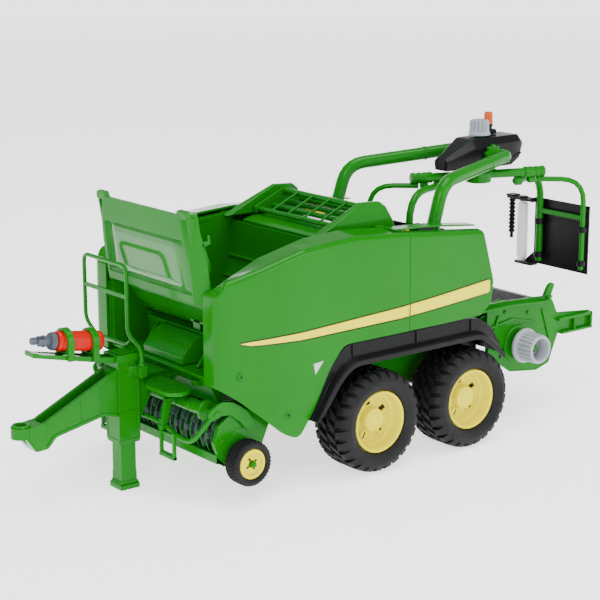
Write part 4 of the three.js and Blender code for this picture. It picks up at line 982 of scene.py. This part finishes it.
def head():
    """Housing: a ridge line and a belt line with the sides drawn in above and below. Each row
    is one station along the length, with its own half width and its own heights."""
    stations = np.array([
        # x from the rotor, half width at foot, at belt and at top, height of foot, belt and top
        [43, 5.4, 6.4, 4.6, 200.6, 206.4, 208.4], [42.2, 6.4, 7.6, 5.2, 200.0, 207.4, 209.6],
        [36, 8.0, 9.4, 5.2, 200.0, 209.6, 213.0], [18, 13.0, 14.4, 9.0, 200.0, 217.0, 223.2],
        [16.3, 13.3, 14.5, 9.6, 200.0, 217.3, 223.8], [0, 13.4, 14.5, 10.2, 200.0, 218.4, 224.1],
        [-25, 13.2, 14.5, 10.4, 200.0, 219.2, 224.3], [-34, 12.6, 14.0, 9.8, 205.0, 219.0, 224.2],
        [-35.6, 12.2, 13.4, 9.4, 207.0, 218.8, 223.2], [-39.4, 10.0, 11.2, 8.0, 213.6, 217.2, 218.8]])
    x, foot, belt, top, z0, z1, z2 = stations.T
    y = np.stack([-foot, -belt, -belt, -top, top, belt, belt, foot], 1)
    z = np.stack([z0, z0 + 0.55 * (z1 - z0), z1, z2, z2, z1, z0 + 0.55 * (z1 - z0), z0], 1)
    points = np.stack([np.repeat(ROTOR + x[:, None], 8, 1), y, z], -1).reshape(-1, 3)
    ends = np.array([np.arange(8)[::-1], 72 + np.arange(8)])
    shell = points, [grid_faces(10, 8, close_columns=True), ends]
    piece("head_shell", shell, "frame", black, stands_for=["head_housing"], bevel=0.7, rounds=3, angle=20)
    lug = both(slab([[-143.4, 201.6], [-140.6, 201.6], [-140.6, 208.6], [-143.4, 208.6]], "xz", 3.4, 5.4))
    rib = both(slab([[-219, 208.6], [-198, 202.2], [-198, 203.4], [-219, 209.8]], "xz", 12.6, 14.4))
    seam = both(slab([[-170, 213], [-206, 214.6], [-206, 215.2], [-170, 213.6]], "xz", 14.2, 14.65))
    piece("head_ribs", together(lug, rib, seam), "frame", black, bevel=0.25)
    lamp = (-200, -6, 0)
    base = together(
        brick((-206, -10, 224.6), (-198, -2, 227.2)),
        disc([[4.0, 226.8], [4.0, 228.4], [3.2, 228.8], [3.2, 230.4], [3.9, 230.8], [3.9, 232.5]], lamp, UP,
             28),
        *[brick((x, -10.1, 224.8), (x + 0.9, -1.9, 228.2)) for x in (-205.4, -203.2)])
    piece("beacon_foot", base, "frame", black, stands_for=["beacon_base"], bevel=0.3)

    def ribbed(t, _):
        """Twelve shallow ribs up the lens."""
        return np.array([0, 1, 1, 1, 0])[:, None] * 0.22 * np.cos(12 * t)[None]

    lens = disc([[3.4, 232.8], [3.6, 233.3], [3.45, 241.0], [3.2, 242.2], [2.4, 242.7]], lamp, UP, 72, ribbed)
    piece("beacon_cap", lens, "frame", clear_amber, stands_for=["beacon_lens"], bevel=0.1)

    def fluted(t, _):
        """Fifteen flutes round the grip."""
        share = np.array([0, 0, 0, 1, 1, 0.5, 0, 0, 0])[:, None]
        return share * 0.7 * np.clip(1.6 * np.cos(15 * t), -1, 1)[None]

    knob = disc(
        [[9.0, 225.6], [9.2, 226.2], [8.5, 227.6], [7.4, 228.6], [7.3, 236], [7.2, 237.2], [6.9, 237.8],
         [6.0, 237.8], [5.6, 236.8]], (ROTOR, 0, 0), UP, 120, fluted)
    piece("knob_fluted", knob, "rotor", grey, stands_for=["rotor_knob"], angle=40)


BEAM_TURN = -19.4  # the beam's heading at rest, in degrees
BEAM = np.array([math.cos(math.radians(BEAM_TURN)), math.sin(math.radians(BEAM_TURN)), 0.0])


def along_beam(distance, z=192.5):
    """A point on the beam's own line, at a distance from the rotor's axis."""
    return np.array([ROTOR, 0, z]) + BEAM * distance


def rotor():
    """The beam's profile is turned about its own line: sleeves and ridges as steps in radius."""
    half = np.array([
        [3.4, 60], [4.6, 59.6], [4.6, 56.8], [4.1, 56.4], [4.1, 54.8], [4.6, 54.4], [4.6, 51.6], [4.1, 51.2],
        [4.1, 49.6], [4.6, 49.2], [4.6, 42], [3.6, 41], [3.6, 12]])
    beam = disc(np.concatenate([half * (1, -1), half[::-1]]), along_beam(0), BEAM, 32)
    hub = disc(
        [[3, 186.5], [9.6, 186.5], [10.6, 187.2], [11, 188.4], [11, 194.6], [10.2, 195.6], [8.4, 196.2],
         [8.4, 199.4], [4, 199.4], [4, 225.2]], (ROTOR, 0, 0), UP, 56)
    rib = slab([[11, 189], [24, 191], [24, 194], [11, 198]], "xz", -1.0, 1.0)
    ribs = together(rib, turned(rib, (0, 0, 0), UP, 180))
    ribs = moved(turned(ribs, (0, 0, 0), UP, BEAM_TURN), (ROTOR, 0, 0))
    piece("beam_and_hub", together(beam, hub, ribs), "rotor", green, stands_for=["rotor_beam"], bevel=0.3)
    for end, s in (("front", 1), ("rear", -1)):
        carrier(end, s)


def carrier(end, s):
    """A film carrier. It is drawn for s = 1 and turned half way round the rotor for s = -1: both
    its plan coordinates change sign about the rotor's axis."""
    x = ROTOR + 80

    def placed(*shapes):
        """The shapes as one, on this carrier's side of the rotor."""
        shape = together(*shapes)
        return shape if s > 0 else turned(shape, (ROTOR, 0, 0), UP, 180)

    hang = 188.6
    outer = along_beam(53, hang - 2.4)
    inner = along_beam(34, hang - 3.2)
    hoops = [
        tube([outer, [x, -44, hang - 2.4], [x, -44, 109]], 2.2, 27, 20, AHEAD),
        tube([inner, [x, 5, hang - 3.2], [x, 5, 109]], 3.0, 27, 24, AHEAD)]
    bar = brick((x - 1, -44, 151), (x + 1, 5, 155))
    cuffs = [disc([[r, -3], [r + 0.8, -2.6], [r + 0.8, 2.6], [r, 3]], place, line, 24)
             for r, place, line in ((2.2, outer + (-4, 2.2, 0), BEAM), (3.0, inner + (3, 0, 0), BEAM))]
    piece(f"hoops_{end}", placed(*hoops, bar, *cuffs), "rotor", green,
          stands_for=[f"film_hoop_{end}"], bevel=0.3)

    low, high, y0, y1 = 105.0, 163.0, -47.5, 14.0
    plate = brick((x + 3.9, y0 + 1, low + 1), (x + 4.7, y1 - 1, high - 1))
    edges = [
        brick((x + 3.3, y0, low), (x + 5, y0 + 2.2, high)),
        brick((x + 3.3, y1 - 2.2, low), (x + 5, y1, high)),
        brick((x + 3.3, y0, high - 2.2), (x + 5, y1, high)),
        brick((x + 3.3, y0, low), (x + 5, y1, low + 2.2)),
        brick((x + 3.5, y0, 146), (x + 4.9, y1, 147.6)),
        brick((x + 3.5, -1.2, low), (x + 4.9, 0.4, high)),
        brick((x + 3.5, -38, low), (x + 4.9, -36.6, high))]
    clips = [disc([[r + 0.1, z], [r + 1.3, z + 0.4], [r + 1.3, z + 4.6], [r + 0.1, z + 5]], (x, y, 0), UP, 24)
             for y, r in ((-44, 2.2), (5, 3.0)) for z in (112, 141)]
    ties = [brick((x + 1.5, y - 1.6, z + 0.6), (x + 4, y + 1.6, z + 4.4))
            for y in (-44, 5) for z in (112, 141)]
    shelf = [
        slab(eased([[x - 5, 9.5], [x + 5, 9.5], [x + 5, 41], [x - 5, 41], [x - 5, 9.5]], 2, 4)[:-1], "xy",
             159.5, 161.6),
        brick((x - 4.6, 10, 161.2), (x + 4.6, 13, 163)), brick((x - 4.6, 33, 161.2), (x + 4.6, 41.4, 163)),
        disc([[4.6, 161.4], [4.6, 162.4], [3.4, 163.0], [2.0, 163.0]], (x - 1, 24, 0), UP, 32),
        slab(eased([[x - 5, 9.5], [x + 5, 9.5], [x + 5, 30], [x - 5, 30], [x - 5, 9.5]], 2, 4)[:-1], "xy",
             103.7, 105.8)]
    ridges = [[r, z] for z0 in np.arange(129, 158, 3.4)
              for r, z in ((1.9, z0), (2.9, z0 + 0.7), (2.9, z0 + 2.1), (1.9, z0 + 2.8))]
    stretcher = disc(ridges, (x - 1, 37, 0), UP, 24)
    stub = disc([[2.0, 124.4], [1.5, 125.0], [1.5, 129.4], [1.9, 130.0]], (x - 1, 37, 0), UP, 16)
    pin = rod((x - 1, 37, 158), (x - 1, 37, 161.5), 1.8, 16)
    arm = slab([[9.5, 104], [22, 104], [24, 106], [9.5, 118]], "yz", x + 2.4, x + 3.6)
    piece(f"carrier_{end}", placed(plate, *edges, *clips, *ties, *shelf, stretcher, stub, pin, arm), "rotor",
          black, stands_for=[f"film_panel_{end}"], bevel=0.3)
    roll = disc(eased(
        [[1.8, 106.6], [3.4, 106.7], [3.4, 108.6], [4.55, 109.4], [4.7, 111], [4.7, 155], [4.55, 156.6],
         [3.2, 157], [3.2, 158.8], [1.8, 158.9]], 0.5, 3), (x - 1, 24, 0), UP, 40)
    piece(f"roll_{end}", placed(roll), f"film_roll_{end}", white, stands_for=[f"film_roll_{end}"])


# ------------------------------------------------------------------ wrapping table and rear


def wrapping_table():
    """Belt: cross sections carried round a long loop, raised in ribs where the distance round the
    loop comes to a whole number of pitches."""
    a = np.linspace(-math.pi / 2, math.pi / 2, 19)
    ahead = np.stack([-146 + 8 * np.cos(a), 82 + 8 * np.sin(a)], 1)
    behind = np.stack([-218 - 8 * np.cos(a), 82 - 8 * np.sin(a)], 1)
    over = np.stack([np.linspace(-149, -215, 45), np.full(45, 90.0)], 1)
    under = np.stack([np.linspace(-215, -149, 45), np.full(45, 74.0)], 1)
    loop = np.concatenate([ahead, over, behind, under])
    rib = np.where(np.arange(len(loop)) % 3 == 0, 0.0, -0.45)[:, None]
    way = np.roll(loop, -1, 0) - np.roll(loop, 1, 0)
    way /= np.linalg.norm(way, axis=1)[:, None]
    loop = loop + np.stack([way[:, 1], -way[:, 0]], 1) * rib
    belt = slab(loop, "xz", -47, 47)
    piece("belt_ribbed", belt, "table", black, stands_for=["table_belt"], angle=20)
    plate = slab(
        [[-152, 78], [-152, 86], [-212, 86], [-212, 78], [-180, 58.6], [-156, 58.6]], "xz", 48, 50.9)
    caps = [disc([[6.4, 48.6], [6.4, 50.9], [5.4, 51.0], [3, 51.0]], (x, 0, 82), ACROSS, 36)
            for x in (-146, -218)]
    spine = brick((-174, -48.5, 60.6), (-162, 48.5, 68.4))
    axle = rod((-168, -65.8, 65.6), (-168, 72, 65.6), 3, 24)
    rollers = [rod((x, -48.5, 82), (x, 48.5, 82), 3, 24) for x in (-146, -218)]
    guide = slab([[-156, 86], [-208, 86], [-204, 92], [-160, 92]], "xz", 48.4, 50.4)
    piece("table_plates", together(both(together(plate, guide, *caps)), spine, axle, *rollers), "table",
          green, stands_for=["table_frame"], bevel=0.5)

    def flutes(t, profile):
        """Twenty-two flutes, on the dial's outer face only."""
        share = np.where((profile[:, 1] > 77) & (profile[:, 1] < 91) & (profile[:, 0] > 10.5), 1.0, 0)
        return share[:, None] * 0.5 * np.clip(1.6 * np.cos(22 * t), -1, 1)[None]

    dial = lathe(
        [[3.3, 73], [13.6, 73], [14, 73.6], [14, 75.4], [13.6, 76], [12.6, 76.6], [11.6, 77.4],
         [11.3, 89.8], [11.4, 91.2], [11, 92], [9.2, 92], [8.8, 91.4], [8.6, 80.4], [8.2, 80], [3.3, 80]],
        TABLE_PIVOT, ACROSS, 176, flutes)
    key = together(
        rod((-168, 72.4, 65.6), (-168, 79, 65.6), 3.4, 24), brick((-168.7, 79.8, 61), (-167.3, 84, 70)))
    piece("dial_fluted", together(dial, key), "table", grey, stands_for=["table_dial"], bevel=0.0, angle=40)
    pin = disc([[3.0, 79.8], [3.0, 85], [2.2, 86]], TABLE_PIVOT, ACROSS, 24)
    piece("dial_pin", pin, "table", green)


def rear_frame():
    """Side plates with a raised rim along each edge, a stepped rail on top and the open channel
    that reaches out behind."""
    outline = np.array([
        [-133, 62], [-133, 99], [-150, 99], [-206, 96], [-212, 84], [-252, 80], [-252, 66], [-214, 68],
        [-204, 44], [-190, 40], [-160, 44]])
    pair("rear_plate", slab(outline, "xz", 64, 66.4), "frame", green, stands_for=["rear_side_{}"], bevel=0.5)
    rim = tube(np.concatenate([np.insert(outline, 1, 66.6, axis=1), [[-133, 66.6, 62]]]), 0.8, 1.5, 8)
    channel = together(
        brick((-252, 62, 77.6), (-212, 70, 80)), brick((-252, 62, 66), (-216, 70, 68)),
        brick((-252, 62, 66), (-250, 70, 80)), brick((-232, 65, 67), (-230.6, 69.6, 79)))
    rail = slab(
        [[-118, 99.5], [-150, 99.6], [-206, 96.6], [-210, 98.4], [-206, 99.6], [-150, 102.4], [-118, 102]],
        "xz", 62.4, 64.6)
    shelf = slab([[-116, 98], [-152, 98.6], [-196, 96.4], [-196, 97.8], [-152, 100], [-116, 99.6]], "xz",
                 60.5, 71)
    knob = disc([[1.4, 66], [1.4, 69], [2.0, 69.4], [2.0, 71], [1.2, 71.4]], (-199, 0, 99.4), ACROSS, 20)
    horn = slab(eased([[-204, 96], [-210, 106], [-214, 108], [-217, 106], [-214, 100], [-211, 88]], 2, 4),
                "xz", 56, 59)
    struts = [
        slab([[-134, 62], [-146, 92], [-143.6, 92], [-131.6, 62]], "xz", 66, 68),
        slab([[-133, 84], [-160, 88], [-186, 82], [-186, 80], [-160, 85.6], [-133, 81.6]], "xz", 66, 67.8),
        slab([[-196, 90], [-206, 62], [-203.6, 62], [-193.6, 90]], "xz", 66, 67.6)]
    boss = disc([[16, 66], [16, 67.2], [14.8, 67.8], [9, 67.8]], TABLE_PIVOT, ACROSS, 40)
    bolt = disc([[1.6, 66], [1.6, 67.4], [1.1, 67.8]], (0, 0, 0), ACROSS, 6)
    bolts = copies(bolt, [[-146, 0, 70], [-190, 0, 48], [-198, 0, 56], [-178, 0, 90], [-152, 0, 94]])
    foot = brick((-137.7, 50, 79), (-131.6, 66, 86))
    pair("rear_ribs", together(rim, channel, rail, shelf, knob, horn, *struts, boss, bolts, foot), "frame",
         green, bevel=0.3)
    # Dark discs on the plate: painted shade in its holes.
    hole = disc([[1.5, 66.2], [1.5, 66.62]], (0, 0, 0), ACROSS, 20)
    holes = copies(hole, [[-148, 0, 58], [-150, 0, 63], [-200, 0, 74]])
    pair("rear_holes", holes, "frame", painted_shade)
    ram = together(
        rod((-122, 57, 92), (-140, 57, 97), 2.6, 20), rod((-140, 57, 97), (-156, 57, 101.4), 1.5, 16))
    pair("table_ram", ram, "frame", green, bevel=0.2)


# ------------------------------------------------------------------ roof, chamber and chassis


def upper_body():
    """The chamber, bay, roof, shoulders, chassis and axles keep their own shapes with eased edges.
    The rack's rods are turned, and ribs and brackets are outlines carried straight."""
    moulded_edges("bale_chamber", 0.4, 2)
    moulded_edges("front_bay", 0.5, 2)
    moulded_edges("roof", 0.6, 2)
    rods = []
    for n, x in enumerate((6, -8, -22, -36)):
        ends = np.array([[1.2, -49.4], [2.0, -49], [2.0, -36], [1.6, -35.6], [1.6, -34.4], [2.0, -34]])
        rods.append(disc(np.concatenate([ends, ends[::-1] * (1, -1)]), (x, 0, 179 + n * 1.2), ACROSS, 20))
    cross = rod((-20, -49.4, 190.5), (-20, 49.4, 190.5), 2.4, 24)
    cheek = slab([[10, 176.5], [10, 181], [-18, 193.5], [-24, 193.5], [-40, 185], [-40, 176]], "xz", 46.5,
                 49.4)
    strap = slab([[8, 180.6], [-18, 192.2], [-24, 192.2], [-24, 190.8], [-18, 190.8], [8, 179.2]], "xz", 0,
                 1.6)
    straps = copies(strap, np.outer([-30, -10.8, 9.2, 28.4], ACROSS))
    piece("rack_rods", together(*rods, cross, both(cheek), straps), "frame", green,
          stands_for=["roller_rack"], bevel=0.3)
    for side in ("left", "right"):
        moulded_edges(f"shoulder_{side}", 1.1, 3)
    ledge = slab([[30, 177], [-12, 177.6], [-46, 172.4], [-46, 171], [-12, 175.6], [30, 175.4]], "xz", 58.6,
                 66)
    latch = brick((-26, 60, 176.4), (-18, 65, 179))
    pair("top_ledge", together(ledge, latch), "frame", green, bevel=0.4)
    tie = slab([[-47, 169.8], [-56, 168.2], [-56, 171.4], [-47, 173]], "xz", 42, 66)
    pair("amber_tie", tie, "frame", yellow, bevel=0.4)
    # A black strip under the flap: painted shade where the gap between flap and panel falls dark.
    gap_shade_strip = slab([[-30, 172.6], [-74, 165.2], [-74, 167], [-30, 174.6]], "xz", 66.6, 69.4)
    pair("dark_gap", gap_shade_strip, "frame", black, bevel=0.3)

    arc = np.radians([-28, -52, -76, -104, -128, -152, -172])
    rib = rod((0, -58.6, 0), (0, 58.6, 0), 1.5, 12)
    places = np.array([72, 0, 150]) + 46.6 * (np.outer(np.cos(arc), AHEAD) + np.outer(np.sin(arc), UP))
    piece("trough_ribs", copies(rib, places), "frame", green)
    bracket = together(
        brick((103.9, 6, 117), (106, 8, 137)), brick((103.9, 20, 117), (106, 22, 137)),
        brick((103.9, 4, 133), (106.4, 26, 135)), brick((103.9, 6, 124), (108, 22, 126)),
        brick((106.4, 10, 119), (108, 18, 131)))
    bracket = moved(bracket, (0.6, 0, -8))
    loop = tube([[112, 58.9, 122], [112, 57, 124], [112, 57, 133], [116, 57, 136], [120, 58.9, 136]], 0.9,
                2, 10)
    hood = slab([[106, 101], [111, 109], [118, 106], [128.5, 95], [128.5, 90], [106, 90]], "xz", -26, 24)
    ridge = slab([[104.4, 111], [111, 111], [104.4, 100]], "xz", -48, 48)
    buttress = both(slab([[104.6, 90], [124, 90], [110, 108], [104.6, 112]], "xz", 34, 36))
    piece("bay_fittings", together(bracket, both(loop), hood, ridge, buttress), "frame", green, bevel=0.5)
    moulded_edges("chassis", 0.5, 2)
    apron = slab([[118, 66], [121, 66], [130, 86.6], [118, 86.6]], "xz", -58, 58)
    piece("front_apron", apron, "frame", green, bevel=0.5)
    links = both(together(
        slab([[118, 70], [96, 66], [96, 62], [118, 66]], "xz", 56, 59),
        slab([[132, 84], [104, 79], [104, 76], [132, 80]], "xz", 40, 46)))
    piece("under_links", links, "frame", green, bevel=0.5)
    for end in ("front", "rear"):
        moulded_edges(f"axle_{end}", 0.3, 2)


wrapper_arms()
head()
rotor()
wrapping_table()
rear_frame()
upper_body()

# ------------------------------------------------------------------ floor, light and camera


def stage():
    """A round pale floor whose rim curves up into a low wall: a profile (r, z) turned about the
    upright line, so a point is (r cos t, r sin t, z). Three soft lights and a pale sky light it."""
    flat, bend, top, sides = 5.0, 1.0, 1.5, 96
    rim = np.linspace(0, math.pi / 2, 16)
    r = np.concatenate([[0.01, 1.0, 2.5], flat + bend * np.sin(rim), [flat + bend]])
    z = np.concatenate([[0.0, 0.0, 0.0], bend * (1 - np.cos(rim)), [top]])
    points = r[:, None, None] * np.insert(circle(1, sides), 2, 0, 1) + z[:, None, None] * UP
    mesh = bpy.data.meshes.new("studio_floor")
    faces = [*grid_faces(len(r), sides, close_columns=True).tolist(), list(range(sides))]
    mesh.from_pydata(points.reshape(-1, 3).tolist(), [], faces)
    mesh.polygons.foreach_set("use_smooth", np.ones(len(mesh.polygons), bool))
    floor = bpy.data.objects.new("studio_floor", mesh)
    bpy.context.scene.collection.objects.link(floor)
    look = Look("pale_floor")
    look.show(look.mixed(look.noise(3, 2), (0.90, 0.90, 0.90), (0.94, 0.94, 0.94)), "Base Color")
    look.set(Roughness=0.8, Emission_Color=(1, 1, 1, 1), Emission_Strength=1.5)
    mesh.materials.append(look.material)

    world = bpy.data.worlds.new("studio")
    world.use_nodes = True
    sky = world.node_tree.nodes["Background"]
    sky.inputs["Color"].default_value = (1, 1, 1, 1)
    sky.inputs["Strength"].default_value = 0.6
    bpy.context.scene.world = world

    aim = Vector((0, 0, 0.1))
    for name, place, width, power in (
            ("key", (1.15, 1.05, 1.3), 0.8, 17),
            ("over", (-0.1, 0.3, 1.8), 1.2, 30),
            ("fill", (-0.7, 1.7, 0.8), 0.8, 9)):
        light = bpy.data.lights.new(name, "AREA")
        light.shape = "SQUARE"
        light.size, light.energy = width, power
        lamp = bpy.data.objects.new(name, light)
        lamp.location = place
        lamp.rotation_euler = (aim - Vector(place)).to_track_quat("-Z", "Y").to_euler()
        bpy.context.scene.collection.objects.link(lamp)


def camera():
    """A long lens, turned from straight ahead towards the left side and raised a little."""
    turn, rise, distance = math.radians(51.7), math.radians(13.6), 1.2705
    aim = Vector((0.0104, 0, 0.1144))
    way = Vector((math.cos(turn) * math.cos(rise), math.sin(turn) * math.cos(rise), math.sin(rise)))
    lens = bpy.data.cameras.new("camera")
    lens.lens, lens.sensor_width = 99.55, 36
    eye = bpy.data.objects.new("camera", lens)
    eye.location = aim + way * distance
    eye.rotation_euler = (-way).to_track_quat("-Z", "Y").to_euler()
    bpy.context.scene.collection.objects.link(eye)
    bpy.context.scene.camera = eye


stage()
camera()
